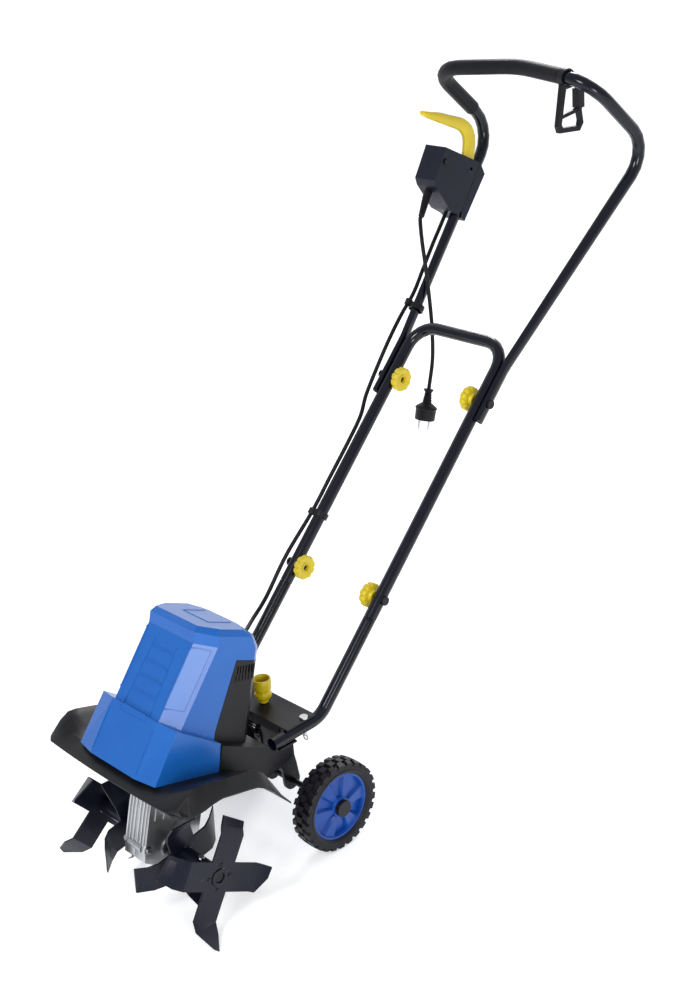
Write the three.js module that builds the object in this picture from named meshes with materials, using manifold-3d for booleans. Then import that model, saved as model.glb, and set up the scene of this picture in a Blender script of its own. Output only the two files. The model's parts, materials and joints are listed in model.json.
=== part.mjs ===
// Electric garden tiller: motor unit over a worm gearbox, four tine stars, wheel arm and folding handle.
// Millimetres, +Z up, +X towards the tines, +Y the operator's left.
import * as THREE from 'three';
import { mergeVertices } from 'three/addons/utils/BufferGeometryUtils.js';
import Module from 'manifold-3d';

const wasm = await Module();
wasm.setup();

// ---------- clearances ----------
const GAP = 0.35;          // air between parts that touch
const RUN = 0.6;           // running clearance of parts that turn or slide
const OVER = 1;            // how far a cutter passes its face

// ---------- driving dimensions ----------
const TUBE_D = 20.6;       // handle tube, coated
const TUBE_WALL = 1.6;
const NECK_LENGTH = 62;    // swaged end of the lower tube, inside the middle tube
const HALF_TRACK = 98;     // lower and middle tubes, from the centre plane
const LEG_FLAT = 10.4;     // thickness of the flattened leg ends of the upper handle
const HANDLE_SLOPE = 45;   // degrees above level
const BEND_R = 42;         // bends of the handle tubes

const TINE_R = 100;        // reach of the outer tine stars
const TINE_INNER_R = 84;   // reach of the inner tine stars
const TINE_LEAD = 25;      // angle of the lowest outer tip ahead of straight down
const TINE_W = 46;         // width of one blade
const TINE_T = 3.2;        // plate thickness
const OUTER_STAR_Y = 139;
const INNER_STAR_Y = 62;
const SHAFT_R = 8.5;       // tine shaft
const HUB_R = 14;          // sleeve that carries two stars

const UNIT_TILT = 16.5;    // the motor leans back, degrees
const DECK_Z = 143;        // underside of the motor cover above the tine shaft, along the motor axis
const WORM_A = 37;         // centre distance of worm and wheel
const WHEEL_TEETH = 40;
const MOTOR_R = 41;
const COVER_WALL = 3;

const WHEEL_R = 75;
const WHEEL_W = 36;
const WHEEL_Y = 140;       // outer face of a wheel
const WHEEL_X = -250;
const AXLE_R = 5;
const PIVOT_X = -212;      // wheel arm pivot
const PIVOT_Z = 186;
const ARM_T = 5;
const ARM_Y = 22;          // middle of one arm plate

const LOWER_BOLT_X = -402.5;
const UPPER_BOLT_X = -652.5;
const BRACE_X = -723.7;
const TUBE_FOOT_Z = 222;   // level foot of the lower tubes
const TUBE_FOOT_X = -158;  // front end of the lower tubes
const BOLT_R = 3;
const KNOB_R = 20.5;

const GRIP_R = 12.6;       // foam sleeve
const CORD_R = 3.4;        // supply cord
const CABLE_R = 3.4;

// ---------- values worked out from them ----------
const TUBE_R = TUBE_D / 2;
const AXLE_Z = TINE_R * Math.cos(THREE.MathUtils.degToRad(TINE_LEAD));
const slope = THREE.MathUtils.degToRad(HANDLE_SLOPE);
const UP = new THREE.Vector2(-Math.cos(slope), Math.sin(slope));     // along the handle, x and z
const LINE_Z = 367 - Math.tan(slope) * 402.5;                       // handle line: z at x = 0
const lineZ = (x) => LINE_Z - Math.tan(slope) * x;
const LEG_Y = HALF_TRACK + TUBE_R + GAP + LEG_FLAT / 2;              // upper handle legs, outside

// ---------- solids ----------
const V = (x, y, z) => new THREE.Vector3(x, y, z);

function manifoldOf(geometry) {
  const bare = geometry.index ? geometry.toNonIndexed() : geometry.clone();
  bare.deleteAttribute('normal');
  bare.deleteAttribute('uv');
  const merged = mergeVertices(bare, 1e-4);
  const corners = merged.index.array;
  const kept = [];
  for (let i = 0; i < corners.length; i += 3) {
    const [a, b, c] = corners.slice(i, i + 3);
    if (a !== b && b !== c && c !== a) kept.push(a, b, c);
  }
  return new wasm.Manifold(new wasm.Mesh({
    numProp: 3,
    vertProperties: new Float32Array(merged.attributes.position.array),
    triVerts: new Uint32Array(kept),
  }));
}

function geometryOf(solid) {
  const mesh = solid.getMesh();
  const geometry = new THREE.BufferGeometry();
  const positions = new Float32Array(mesh.numVert * 3);
  for (let i = 0; i < mesh.numVert; i += 1) {
    for (let k = 0; k < 3; k += 1) positions[3 * i + k] = mesh.vertProperties[mesh.numProp * i + k];
  }
  geometry.setAttribute('position', new THREE.BufferAttribute(positions, 3));
  geometry.setIndex(new THREE.BufferAttribute(new Uint32Array(mesh.triVerts), 1));
  geometry.computeVertexNormals();
  return geometry;
}

const join = (...solids) => solids.reduce((a, b) => a.add(b));
const cut = (base, ...tools) => tools.reduce((a, b) => a.subtract(b), base);

function block(sx, sy, sz, x, y, z) {
  return manifoldOf(new THREE.BoxGeometry(sx, sy, sz).translate(x, y, z));
}

// A disc or rod along an axis: 'x', 'y' or 'z'.
function rod(r, length, axis, x, y, z, sides = 20) {
  const g = new THREE.CylinderGeometry(r, r, length, sides);
  if (axis === 'x') g.rotateZ(-Math.PI / 2);
  if (axis === 'z') g.rotateX(Math.PI / 2);
  return manifoldOf(g.translate(x, y, z));
}

const pipe = (ro, ri, length, axis, x, y, z, sides = 20) =>
  cut(rod(ro, length, axis, x, y, z, sides), rod(ri, length + 2 * OVER, axis, x, y, z, sides));

// Body of revolution about Y; the profile is a list of [radius, y].
function turned(profile, x, z, sides = 24) {
  const points = profile.map(([r, y]) => new THREE.Vector2(Math.max(r, 0), y));
  return manifoldOf(new THREE.LatheGeometry(points, sides).translate(x, 0, z));
}

// Plate: an outline in x and z, given a thickness in y.
function plateXZ(points, y0, y1, holes = []) {
  const shape = new THREE.Shape(points.map(([x, z]) => new THREE.Vector2(x, z)));
  for (const [x, z, r] of holes) {
    const hole = new THREE.Path();
    hole.absarc(x, z, r, 0, Math.PI * 2, true);
    shape.holes.push(hole);
  }
  const g = new THREE.ExtrudeGeometry(shape, { depth: y1 - y0, bevelEnabled: false, curveSegments: 7 });
  return manifoldOf(g.rotateX(Math.PI / 2).translate(0, y1, 0));
}

// Points of an arc in a plane, from angle a to angle b in degrees.
function arc(cx, cz, r, a, b, steps = 6) {
  return Array.from({ length: steps + 1 }, (_, i) => {
    const t = THREE.MathUtils.degToRad(a + ((b - a) * i) / steps);
    return [cx + r * Math.cos(t), cz + r * Math.sin(t)];
  });
}

// A round or tapered rod between two points.
function between(p, q, r0, r1 = r0, sides = 16) {
  const axis = q.clone().sub(p);
  const g = new THREE.CylinderGeometry(r1, r0, axis.length(), sides);
  const turn = new THREE.Quaternion().setFromUnitVectors(V(0, 1, 0), axis.clone().normalize());
  g.applyQuaternion(turn);
  return manifoldOf(g.translate(...p.clone().add(q).multiplyScalar(0.5).toArray()));
}

// A closed surface between two polygons of the same number of corners, lower one first.
function loftGeometry(lower, upper) {
  const n = lower.length;
  const flat = [...lower, ...upper].flat();
  const contour = lower.map(([x, y]) => new THREE.Vector2(x, y));
  const clockwise = THREE.ShapeUtils.isClockWise(contour);
  const faces = THREE.ShapeUtils.triangulateShape(contour, []);
  const index = [];
  for (const [a, b, c] of faces) {
    index.push(...(clockwise ? [a, b, c] : [a, c, b]));
    index.push(...(clockwise ? [n + a, n + c, n + b] : [n + a, n + b, n + c]));
  }
  for (let i = 0; i < n; i += 1) {
    const j = (i + 1) % n;
    const quad = clockwise ? [i, n + j, j, i, n + i, n + j] : [i, j, n + j, i, n + j, n + i];
    index.push(...quad);
  }
  const g = new THREE.BufferGeometry();
  g.setAttribute('position', new THREE.Float32BufferAttribute(flat, 3));
  g.setIndex(index);
  return g;
}

const loft = (lower, upper) => manifoldOf(loftGeometry(lower, upper));

// ---------- bent tubes ----------
// Corners rounded by arcs, a slight bend with fewer steps; each point is one step of the sweep.
function rounded(corners, radius, steps = 5) {
  const out = [corners[0].clone()];
  for (let i = 1; i < corners.length - 1; i += 1) {
    const p = corners[i];
    const a = corners[i - 1].clone().sub(p).normalize();
    const b = corners[i + 1].clone().sub(p).normalize();
    const half = a.angleTo(b) / 2;
    const r = Array.isArray(radius) ? radius[i - 1] : radius;
    const centre = p.clone().addScaledVector(a.clone().add(b).normalize(), r / Math.sin(half));
    const start = p.clone().addScaledVector(a, r / Math.tan(half)).sub(centre);
    const end = p.clone().addScaledVector(b, r / Math.tan(half)).sub(centre);
    const axis = start.clone().cross(end).normalize();
    const sweep = start.angleTo(end);
    const count = sweep < 0.3 ? 1 : steps;
    for (let k = 0; k <= count; k += 1) {
      out.push(start.clone().applyAxisAngle(axis, (sweep * k) / count).add(centre));
    }
  }
  out.push(corners[corners.length - 1].clone());
  return out;
}

class Polyline extends THREE.Curve {
  constructor(points) {
    super();
    this.points = points;
  }

  getUtoTmapping(u) {
    return u;
  }

  getPoint(t, target = new THREE.Vector3()) {
    const s = t * (this.points.length - 1);
    const i = Math.min(Math.floor(s + 1e-9), this.points.length - 2);
    return target.copy(this.points[i]).lerp(this.points[i + 1], s - i);
  }

  getTangent(t, target = new THREE.Vector3()) {
    const i = Math.round(t * (this.points.length - 1));
    const before = this.points[Math.max(i - 1, 0)];
    const after = this.points[Math.min(i + 1, this.points.length - 1)];
    const here = this.points[i];
    const into = here.clone().sub(before).normalize();
    const out = after.clone().sub(here).normalize();
    return target.copy(into.add(out)).normalize();
  }
}

const TUBE_SIDES = 12;
const BORE_SIDES = 8;
function sweep(points, r, inner = 0, sides = TUBE_SIDES, boreSides = BORE_SIDES, shape = null) {
  const section = new THREE.Shape();
  const ring = (radius, corners = sides) => Array.from({ length: corners }, (_, i) => {
    const t = (2 * Math.PI * i) / corners;
    return new THREE.Vector2(radius * Math.cos(t), radius * Math.sin(t));
  });
  section.setFromPoints(ring(r));
  if (inner > 0) section.holes.push(new THREE.Path().setFromPoints(ring(inner, boreSides).reverse()));
  const g = new THREE.ExtrudeGeometry(section, {
    steps: points.length - 1, extrudePath: new Polyline(points), bevelEnabled: false,
  });
  if (shape) shape(g.attributes.position);
  return manifoldOf(g);
}

// ---------- the exported group ----------
const tiller = new THREE.Group();
const unit = new THREE.Group();
unit.position.set(0, 0, AXLE_Z);
unit.rotation.y = -THREE.MathUtils.degToRad(UNIT_TILT);
tiller.add(unit);

const FINISH = {
  blue: { color: 0x1560bd, roughness: 0.25, metalness: 0 },
  black: { color: 0x15161b, roughness: 0.5, metalness: 0 },
  gloss: { color: 0x0b0c12, roughness: 0.2, metalness: 0.3 },
  tine: { color: 0x171a26, roughness: 0.4, metalness: 0.5 },
  cast: { color: 0xa9abad, roughness: 0.35, metalness: 0.9 },
  steel: { color: 0xb8babd, roughness: 0.25, metalness: 1 },
  yellow: { color: 0xf2d80a, roughness: 0.4, metalness: 0 },
  rubber: { color: 0x16161a, roughness: 0.85, metalness: 0 },
  copper: { color: 0xb0603a, roughness: 0.4, metalness: 0.9 },
  bronze: { color: 0xa8813c, roughness: 0.4, metalness: 0.9 },
};

function add(name, solid, finish, parent = tiller) {
  const geometry = solid.isBufferGeometry ? solid : geometryOf(solid);
  const mesh = new THREE.Mesh(geometry, new THREE.MeshStandardMaterial(FINISH[finish]));
  mesh.name = name;
  parent.add(mesh);
  return mesh;
}

const SIDES = [['left', 1], ['right', -1]];

// ---------- motor unit: +Z is the motor axis, the tine shaft runs through the origin ----------
const FRONT_LEAN = 83.1 / 220.7;      // the front face leans back on its way up
const TOP_FALL = 0.1426;              // the top falls towards the rear
const LEDGE_FALL = 0.398;             // the step between skirt and body
const COVER_FRONT = 108.6;
const FACE_HALF = 52;                 // flat front face
const BODY_HALF = 72;
const SKIRT_HALF = 90;
const BODY_REAR = -96;
const TOP_Z = 363;
const SKIRT_REAR = -19.5;
const MOTOR_X = -WORM_A;

const frontX = (z) => COVER_FRONT - (z - DECK_Z) * FRONT_LEAN;
const topZ = (x) => TOP_Z - (frontX(TOP_Z) - x) * TOP_FALL;

// Plan of the body at one height, drawn in by an inset, more so at the rear where its edge is rounder.
function bodyPlan(z, inset, rearInset) {
  const front = frontX(z) - inset;
  const side = BODY_HALF - inset;
  const rear = BODY_REAR + rearInset;
  const half = [[front, FACE_HALF - inset / 2], [front - 31, side], [rear + 16, side], [rear + 4, side - 9 - (rearInset - inset) / 2],
    [rear, side - 24 - (rearInset - inset) / 2]];
  return [...half, ...half.map(([x, y]) => [x, -y]).reverse()];
}

function bodySolid(inset, foot) {
  const roof = (x, drop) => topZ(x) - inset - drop;
  const ring = (z, extra, rearExtra, drop) => bodyPlan(z, inset + extra, inset + rearExtra)
    .map(([x, y]) => [x, y, drop === null ? z : roof(x, drop)]);
  const rings = [ring(foot, 0, 0, null), ring(TOP_Z, 0, 0, 26), ring(TOP_Z, 0, 9, 9), ring(TOP_Z, 7, 24, 0)];
  return join(...rings.slice(1).map((upper, i) => loft(rings[i], upper)));
}

function skirtSolid(inset, foot) {
  const side = SKIRT_HALF - inset;
  const face = FACE_HALF + 1 - inset / 2;
  const ledge = (x) => 221 + (x - 67) * LEDGE_FALL - inset;
  const rear = SKIRT_REAR - 5;
  const plan = (shift, widen, top) => {
    const f = COVER_FRONT - inset - shift;
    const half = [[f, face], [f - 9, side + widen], [rear, side + widen]];
    return [...half, ...half.map(([x, y]) => [x, -y]).reverse()].map(([x, y]) => [x, y, top ? ledge(x) : foot]);
  };
  return loft(plan(0, 1, false), plan(31, -2, true));
}

// The rear lower corner of the shell belongs to the black rear housing.
function rearWedge(shrink) {
  const top = (x) => 307.6 - (-44.5 - x) * 0.1456 - shrink;
  const points = [[-44.5 - shrink, top(-44.5)], [SKIRT_REAR - shrink, 199.6], [SKIRT_REAR - shrink, DECK_Z - 8],
    [-150, DECK_Z - 8], [-150, top(-150)]];
  return plateXZ(points, -SKIRT_HALF - 12, SKIRT_HALF + 12);
}

const shell = bodySolid(0, DECK_Z).add(skirtSolid(0, DECK_Z));
const hollow = bodySolid(COVER_WALL, DECK_Z - OVER).add(skirtSolid(COVER_WALL, DECK_Z - OVER));
add('motor_cover', cut(shell, hollow, rearWedge(0)), 'blue', unit);

// Fender: one moulded sheet, arched over the tines, its sides turned down as lips.
const FENDER_T = 3;
const FENDER_FRONT = 119;
const FENDER_REAR = -106;
const FENDER_HALF = 166;
const FENDER_STEPS = 14;              // from front to rear
const FENDER_BANDS = 16;              // from side to side
const DECK_TOP = DECK_Z - GAP;
const { smoothstep } = THREE.MathUtils;
const fenderX = (i) => FENDER_FRONT + (FENDER_REAR - FENDER_FRONT) * (i / FENDER_STEPS) ** 1.25;

// Height of the upper face at x, with v the share of the half width.
function fenderTop(x, v) {
  const inward = FENDER_FRONT - x;
  const front = smoothstep(x, 96, FENDER_FRONT) * 15;
  const tail = smoothstep(-x, 22, 128) * 46;
  const rise = smoothstep(v, 0.6, 0.95) * 25 * smoothstep(inward, 0, 40) * (1 - smoothstep(-x, 30, 110));
  const lip = smoothstep(v, 0.95, 1) * (22 + 14 * smoothstep(x, 40, 85)) * smoothstep(inward, 0, 30)
    * (1 - smoothstep(-x, 30, 100));
  return DECK_TOP - front - tail + rise - lip;
}

function fenderSolid() {
  const positions = [];
  const index = [];
  const [nx, ny] = [FENDER_STEPS, FENDER_BANDS];
  const at = (layer, i, j) => layer * (nx + 1) * (ny + 1) + i * (ny + 1) + j;
  for (const layer of [0, 1]) {
    for (let i = 0; i <= nx; i += 1) {
      const x = fenderX(i);
      const corner = 22 * Math.sqrt(Math.max(0, 1 - (Math.max(0, x - FENDER_FRONT + 26) / 26.5) ** 2)) - 22;
      const half = FENDER_HALF - 9 * smoothstep(FENDER_FRONT - x, 40, 230) + corner;
      for (let j = 0; j <= ny; j += 1) {
        const s = (2 * j) / ny - 1;
        const v = Math.sign(s) * (1 - (1 - Math.abs(s)) ** 1.35);
        const bow = 6 * (1 - v * v) * smoothstep(x, 100, FENDER_FRONT);
        positions.push(x - 6 + bow, v * half, fenderTop(x, Math.abs(v)) - layer * FENDER_T);
      }
    }
  }
  for (let i = 0; i < nx; i += 1) {
    for (let j = 0; j < ny; j += 1) {
      const [a, b, c, d] = [at(0, i, j), at(0, i + 1, j), at(0, i + 1, j + 1), at(0, i, j + 1)];
      index.push(a, c, b, a, d, c);
      const [e, f, g, h] = [at(1, i, j), at(1, i + 1, j), at(1, i + 1, j + 1), at(1, i, j + 1)];
      index.push(e, f, g, e, g, h);
    }
  }
  const rim = [];
  for (let j = 0; j < ny; j += 1) rim.push([at(0, 0, j), at(0, 0, j + 1), at(1, 0, j), at(1, 0, j + 1)]);
  for (let i = 0; i < nx; i += 1) rim.push([at(0, i, ny), at(0, i + 1, ny), at(1, i, ny), at(1, i + 1, ny)]);
  for (let j = ny; j > 0; j -= 1) rim.push([at(0, nx, j), at(0, nx, j - 1), at(1, nx, j), at(1, nx, j - 1)]);
  for (let i = nx; i > 0; i -= 1) rim.push([at(0, i, 0), at(0, i - 1, 0), at(1, i, 0), at(1, i - 1, 0)]);
  for (const [a, b, c, d] of rim) index.push(a, c, b, b, c, d);
  const g = new THREE.BufferGeometry();
  g.setAttribute('position', new THREE.Float32BufferAttribute(positions, 3));
  g.setIndex(index);
  return manifoldOf(g);
}
// The gearbox passes up through a hole in the fender.
const GEARBOX_HALF = 25;
const GEARBOX_TOP = 152;
const BOX_FRONT = 48;
const BOX_REAR = MOTOR_X - 17;
const throughHole = block(BOX_FRONT - BOX_REAR + 8, 2 * GEARBOX_HALF + 6, 80, (BOX_FRONT + BOX_REAR) / 2, 0, DECK_Z - 10);
add('fender', fenderSolid().subtract(throughHole), 'black', unit);

// Rear housing: the rest of the shell, slatted on both sides, over a box that sits on the fender.
const BASE_HALF = 90.7;
const BASE_REAR = -121;
const BASE_FRONT = SKIRT_REAR - RUN;
function baseBox(inset) {
  const top = (x) => 184 - (BASE_FRONT - x) * 0.216 - inset;
  const front = BASE_FRONT - inset;
  const rear = BASE_REAR + inset;
  const floor = [rear];
  for (let i = FENDER_STEPS; i >= 0; i -= 1) {
    const x = fenderX(i) - 6;
    if (x > rear + 1 && x < front - 1) floor.push(x);
  }
  floor.push(front);
  const under = floor.map((x) => [x, fenderTop(Math.max(x + 6, FENDER_REAR), 0) + GAP - (inset > 0 ? OVER : 0)]);
  return plateXZ([[front, top(front)], [rear + 4, top(rear + 4)], [rear, top(rear) - 4], ...under],
    -BASE_HALF + inset, BASE_HALF - inset);
}
const rearSkin = bodySolid(0, DECK_Z).subtract(bodySolid(COVER_WALL, DECK_Z - OVER)).intersect(rearWedge(RUN));
const baseSkin = cut(baseBox(0), baseBox(COVER_WALL), bodySolid(COVER_WALL, DECK_Z - 60));
let rearHousing = rearSkin.add(baseSkin);
const SLATS = 7;
for (let i = 0; i < SLATS; i += 1) {
  rearHousing = rearHousing.subtract(block(2.4, 2 * BODY_HALF + 20, 12, -82 + 5.4 * i, 0, 291));
}
const GLAND = { y: -25, z: 285, r: 7 };
rearHousing = rearHousing.subtract(rod(GLAND.r, 30, 'x', BODY_REAR, GLAND.y, GLAND.z, 16));
add('rear_housing', rearHousing, 'black', unit);
add('cable_gland', join(
  pipe(GLAND.r - GAP, CABLE_R + GAP, 10, 'x', BODY_REAR, GLAND.y, GLAND.z, 14),
  pipe(GLAND.r + 3, CABLE_R + GAP, 8, 'x', BODY_REAR - 4 - GAP, GLAND.y, GLAND.z, 14),
), 'rubber', unit);

// Gearbox: two cast halves around the worm and its wheel.
const WORM_R = 6.5;
const WORM_WHEEL_R = WORM_A - WORM_R;
const BOX_BOTTOM_R = WORM_WHEEL_R + 1.3 + RUN + 3.6;
const WORM_FOOT = -20;
const BEARING_R = 11;
const gearboxOutline = [...arc(0, 0, BOX_BOTTOM_R, 225, 310, 8), [BOX_FRONT - 2, -18], [BOX_FRONT, 0],
  [BOX_FRONT, 60], [BOX_FRONT - 4, GEARBOX_TOP], [BOX_REAR, GEARBOX_TOP], [BOX_REAR, -25]];
const gearboxCore = join(
  rod(WORM_WHEEL_R + 1.3 + RUN, 21, 'y', 0, 0, 0, 22),
  rod(WORM_R + 1.6 + RUN, GEARBOX_TOP + 2 - WORM_FOOT, 'z', MOTOR_X, 0, (GEARBOX_TOP + WORM_FOOT) / 2, 12),
  rod(BEARING_R, 60, 'z', MOTOR_X, 0, GEARBOX_TOP, 14),
);
const shaftHole = rod(SHAFT_R + RUN, 4 * GEARBOX_HALF, 'y', 0, 0, 0, 14);
const CASE_BOLTS = [[BOX_FRONT - 2, 84], [BOX_FRONT - 3, 2], [4, -BOX_BOTTOM_R + 1], [BOX_REAR + 2, -8]];
for (const [name, side] of SIDES) {
  const y0 = side > 0 ? GAP / 2 : -GEARBOX_HALF;
  const y1 = side > 0 ? GEARBOX_HALF : -GAP / 2;
  let half = plateXZ(gearboxOutline, y0, y1);
  for (const [x, z] of CASE_BOLTS) half = half.add(rod(7, (y1 - y0) * 0.62, 'y', x, side * (GAP / 2 + (y1 - y0) * 0.31), z, 10));
  half = cut(half, gearboxCore, shaftHole);
  half = half.add(cut(rod(SHAFT_R + 9, 4, 'y', 0, side * (GEARBOX_HALF + 1), 0, 20), shaftHole));
  for (const [x, z] of CASE_BOLTS) half = half.subtract(rod(2.6, 60, 'y', x, 0, z, 6));
  add(`gearbox_${name}`, half, 'cast', unit);
}

// Motor: stator, armature with fan, brushes at the top, and the worm at the foot of its shaft.
const STATOR_Z = 232;
const STATOR_LENGTH = 62;
const ARMATURE_R = 24;
add('stator', cut(
  rod(MOTOR_R, STATOR_LENGTH, 'z', MOTOR_X + 4, 0, STATOR_Z, 24),
  rod(ARMATURE_R + RUN, 200, 'z', MOTOR_X, 0, STATOR_Z, 24),
), 'steel', unit);
add('brush_ring', cut(
  join(rod(ARMATURE_R + 9, 9, 'z', MOTOR_X, 0, STATOR_Z + 56, 20), block(66, 12, 12, MOTOR_X, 0, STATOR_Z + 56)),
  rod(16 + RUN, 60, 'z', MOTOR_X, 0, STATOR_Z + 56, 20),
), 'black', unit);
const SHAFT_THICK = 5;
const SHAFT_FOOT = 126;
add('armature', join(
  rod(SHAFT_THICK, 190, 'z', MOTOR_X, 0, SHAFT_FOOT + GAP + 95, 14),
  rod(ARMATURE_R, 58, 'z', MOTOR_X, 0, STATOR_Z, 20),
  rod(16, 26, 'z', MOTOR_X, 0, STATOR_Z + 56, 20),
  rod((BEARING_R - GAP) * 0.97, 9, 'z', MOTOR_X, 0, GEARBOX_TOP - 5, 14),
), 'copper', unit);
const fanBlades = Array.from({ length: 8 }, (_, i) => manifoldOf(
  new THREE.BoxGeometry(22, 2, 13).translate(20.5, 0, STATOR_Z - 44.2).rotateZ((i * Math.PI) / 4).translate(MOTOR_X, 0, 0),
));
add('cooling_fan', cut(
  join(rod(33, 2.5, 'z', MOTOR_X, 0, STATOR_Z - 51, 20), rod(12, 15, 'z', MOTOR_X, 0, STATOR_Z - 44, 16), ...fanBlades),
  rod(SHAFT_THICK + GAP, 60, 'z', MOTOR_X, 0, STATOR_Z - 44, 14),
), 'black', unit);

// The worm is a stepped core with ridges; the wheel's teeth stop just short of them.
const WORM_PITCH = (2 * Math.PI * WORM_WHEEL_R) / WHEEL_TEETH;
const wormCore = rod(WORM_R - 1.4, SHAFT_FOOT - WORM_FOOT, 'z', MOTOR_X, 0, (SHAFT_FOOT + WORM_FOOT) / 2, 10);
const wormRidges = Array.from({ length: 5 }, (_, i) => {
  const z = (i - 2) * WORM_PITCH;
  const profile = [[WORM_R - 2, z - 1.5], [WORM_R - 2, z + 1.5], [WORM_R - 0.2, z + 0.5], [WORM_R - 0.2, z - 0.5]];
  const ring = new THREE.LatheGeometry([...profile, profile[0]].map(([r, h]) => new THREE.Vector2(r, h)).reverse(), 10);
  return manifoldOf(ring.rotateX(Math.PI / 2).translate(MOTOR_X, 0, 0));
});
add('worm', join(wormCore, ...wormRidges), 'steel', unit);
const rimPoints = Array.from({ length: 2 * WHEEL_TEETH }, (_, i) => {
  const r = i % 2 ? WORM_WHEEL_R - 1.7 : WORM_WHEEL_R - 0.35;
  const t = (Math.PI * i) / WHEEL_TEETH;
  return [r * Math.cos(t), r * Math.sin(t)];
});
add('worm_wheel', cut(plateXZ(rimPoints, -7, 7), rod(SHAFT_R + GAP, 40, 'y', 0, 0, 0, 16)), 'bronze', unit);

// ---------- tine shaft, sleeves and stars ----------
const HUB_IN = GEARBOX_HALF + 5;
const HUB_OUT = OUTER_STAR_Y + 3.2;
const PIN_Y = 102;
add('tine_shaft', rod(SHAFT_R, 2 * HUB_OUT - 4, 'y', 0, 0, AXLE_Z, 16).subtract(
  join(...SIDES.map(([, side]) => rod(2.6, 60, 'z', 0, side * PIN_Y, AXLE_Z, 10))),
), 'steel');

// A blade stands on the hub plate, flat up to its bend, then leaning to one side. Its end spans a
// share of the width on either side of the middle, and may be cut slantwise.
function blade(end, angle, y) {
  const { reach, bend, lean, from, to, slant } = end;
  const [w, t] = [TINE_W / 2, TINE_T / 2];
  const section = (z, dy, left, right, drop) => [[w * left, dy - t, z - drop], [w * right, dy - t, z],
    [w * right, dy + t, z], [w * left, dy + t, z - drop]];
  const place = (g) => manifoldOf(g.rotateY(Math.PI - THREE.MathUtils.degToRad(angle)).translate(0, y, AXLE_Z));
  const knee = section(bend + (reach - bend) * 0.45, lean * 0.34, -0.97, 1, slant / 4);
  return join(
    place(loftGeometry(section(12, 0, -1, 1, 0), section(bend, 0, -1, 1, 0))),
    place(loftGeometry(section(bend, 0, -1, 1, 0), knee)),
    place(loftGeometry(knee, section(reach, lean, from, to, slant))),
  );
}
const hubPlateHole = rod(HUB_R + GAP, 400, 'y', 0, 0, AXLE_Z, 18);
function star(y, phase, ends) {
  const blades = ends.map((end, i) => blade(end, phase + 90 * i, y));
  return cut(join(rod(27, TINE_T, 'y', 0, y, AXLE_Z, 20), ...blades), hubPlateHole);
}
const OUTER_PHASE = { left: 31, right: 51 };
const INNER_PHASE = 80;
const OUTER_ENDS = [
  { reach: TINE_R - 0.5, bend: 70, lean: 36, from: -0.05, to: 0.46, slant: 3 },
  { reach: 92, bend: 64, lean: -30, from: -0.9, to: 0.8, slant: 10 },
  { reach: 90, bend: 66, lean: -14, from: -1.3, to: 0.7, slant: 8 },
  { reach: 88, bend: 70, lean: 16, from: 0.2, to: 1, slant: 2 },
];
const innerEnd = (lean) => ({ reach: TINE_INNER_R, bend: 46, lean, from: -0.9, to: 0.9, slant: 10 });
for (const [name, side] of SIDES) {
  const mirrored = (ends) => ends.map((end) => ({ ...end, lean: end.lean * side }));
  add(`tine_outer_${name}`, star(side * OUTER_STAR_Y, OUTER_PHASE[name], mirrored(OUTER_ENDS)), 'tine');
  add(`tine_inner_${name}`, star(side * INNER_STAR_Y, INNER_PHASE, mirrored([-26, 26, -26, 26].map(innerEnd))), 'tine');
  const middle = (side * (HUB_IN + HUB_OUT)) / 2;
  add(`tine_hub_${name}`, cut(
    pipe(HUB_R, SHAFT_R + GAP, HUB_OUT - HUB_IN, 'y', 0, middle, AXLE_Z, 18),
    rod(2.6, 60, 'z', 0, side * PIN_Y, AXLE_Z, 10),
  ), 'tine');
  add(`hub_pin_${name}`, join(
    rod(2.2, 2 * HUB_R + 9, 'z', 0, side * PIN_Y, AXLE_Z, 10),
    rod(4.6, 3, 'z', 0, side * PIN_Y, AXLE_Z + HUB_R + 3, 8),
    pipe(7, 5, 1.8, 'x', 0, side * PIN_Y, AXLE_Z - HUB_R - 8.5, 12),
  ), 'steel');
}

// ---------- frame behind the motor ----------
const tilt = THREE.MathUtils.degToRad(UNIT_TILT);
const toWorld = (x, z) => [x * Math.cos(tilt) - z * Math.sin(tilt), AXLE_Z + x * Math.sin(tilt) + z * Math.cos(tilt)];
const CHEEK_Y = 85.9;
const CHEEK_T = 3;
const PLATE_T = 3;
const PLATE_Z = TUBE_FOOT_Z + TUBE_R + GAP;      // underside of the cross plate, on the tube feet
const FRAME_REAR = -203;
const seat = (z) => toWorld(BASE_REAR - GAP, z);
const [seatLow, seatHigh] = [seat(fenderTop(FENDER_REAR, 0) + 6), seat(156)];
const cheek = [seatLow, [FRAME_REAR, 172], [FRAME_REAR, 212], [-176, 214], seatHigh];
const EAR_Y = ARM_Y + ARM_T / 2 + RUN + 2;
const EAR_T = 4;
const PIVOT_R = 6;
const earPlate = (y) => plateXZ([...arc(PIVOT_X, PIVOT_Z, 15, 90, 270, 8), [-197, 171], [-197, 201]], y - EAR_T / 2, y + EAR_T / 2);
const backWall = block(PLATE_T, 2 * CHEEK_Y, 36, FRAME_REAR + PLATE_T / 2 + 3, 0, 192)
  .subtract(block(40, 2 * (EAR_Y - 2), 60, FRAME_REAR, 0, 192));
const frontWall = loft(
  [[seatLow[0] + 0.02, -CHEEK_Y, seatLow[1]], [seatLow[0] + 0.02, CHEEK_Y, seatLow[1]],
    [seatLow[0] - 3, CHEEK_Y, seatLow[1]], [seatLow[0] - 3, -CHEEK_Y, seatLow[1]]],
  [[seatHigh[0] + 0.02, -CHEEK_Y, seatHigh[1]], [seatHigh[0] + 0.02, CHEEK_Y, seatHigh[1]],
    [seatHigh[0] - 3, CHEEK_Y, seatHigh[1]], [seatHigh[0] - 3, -CHEEK_Y, seatHigh[1]]],
);
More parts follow.
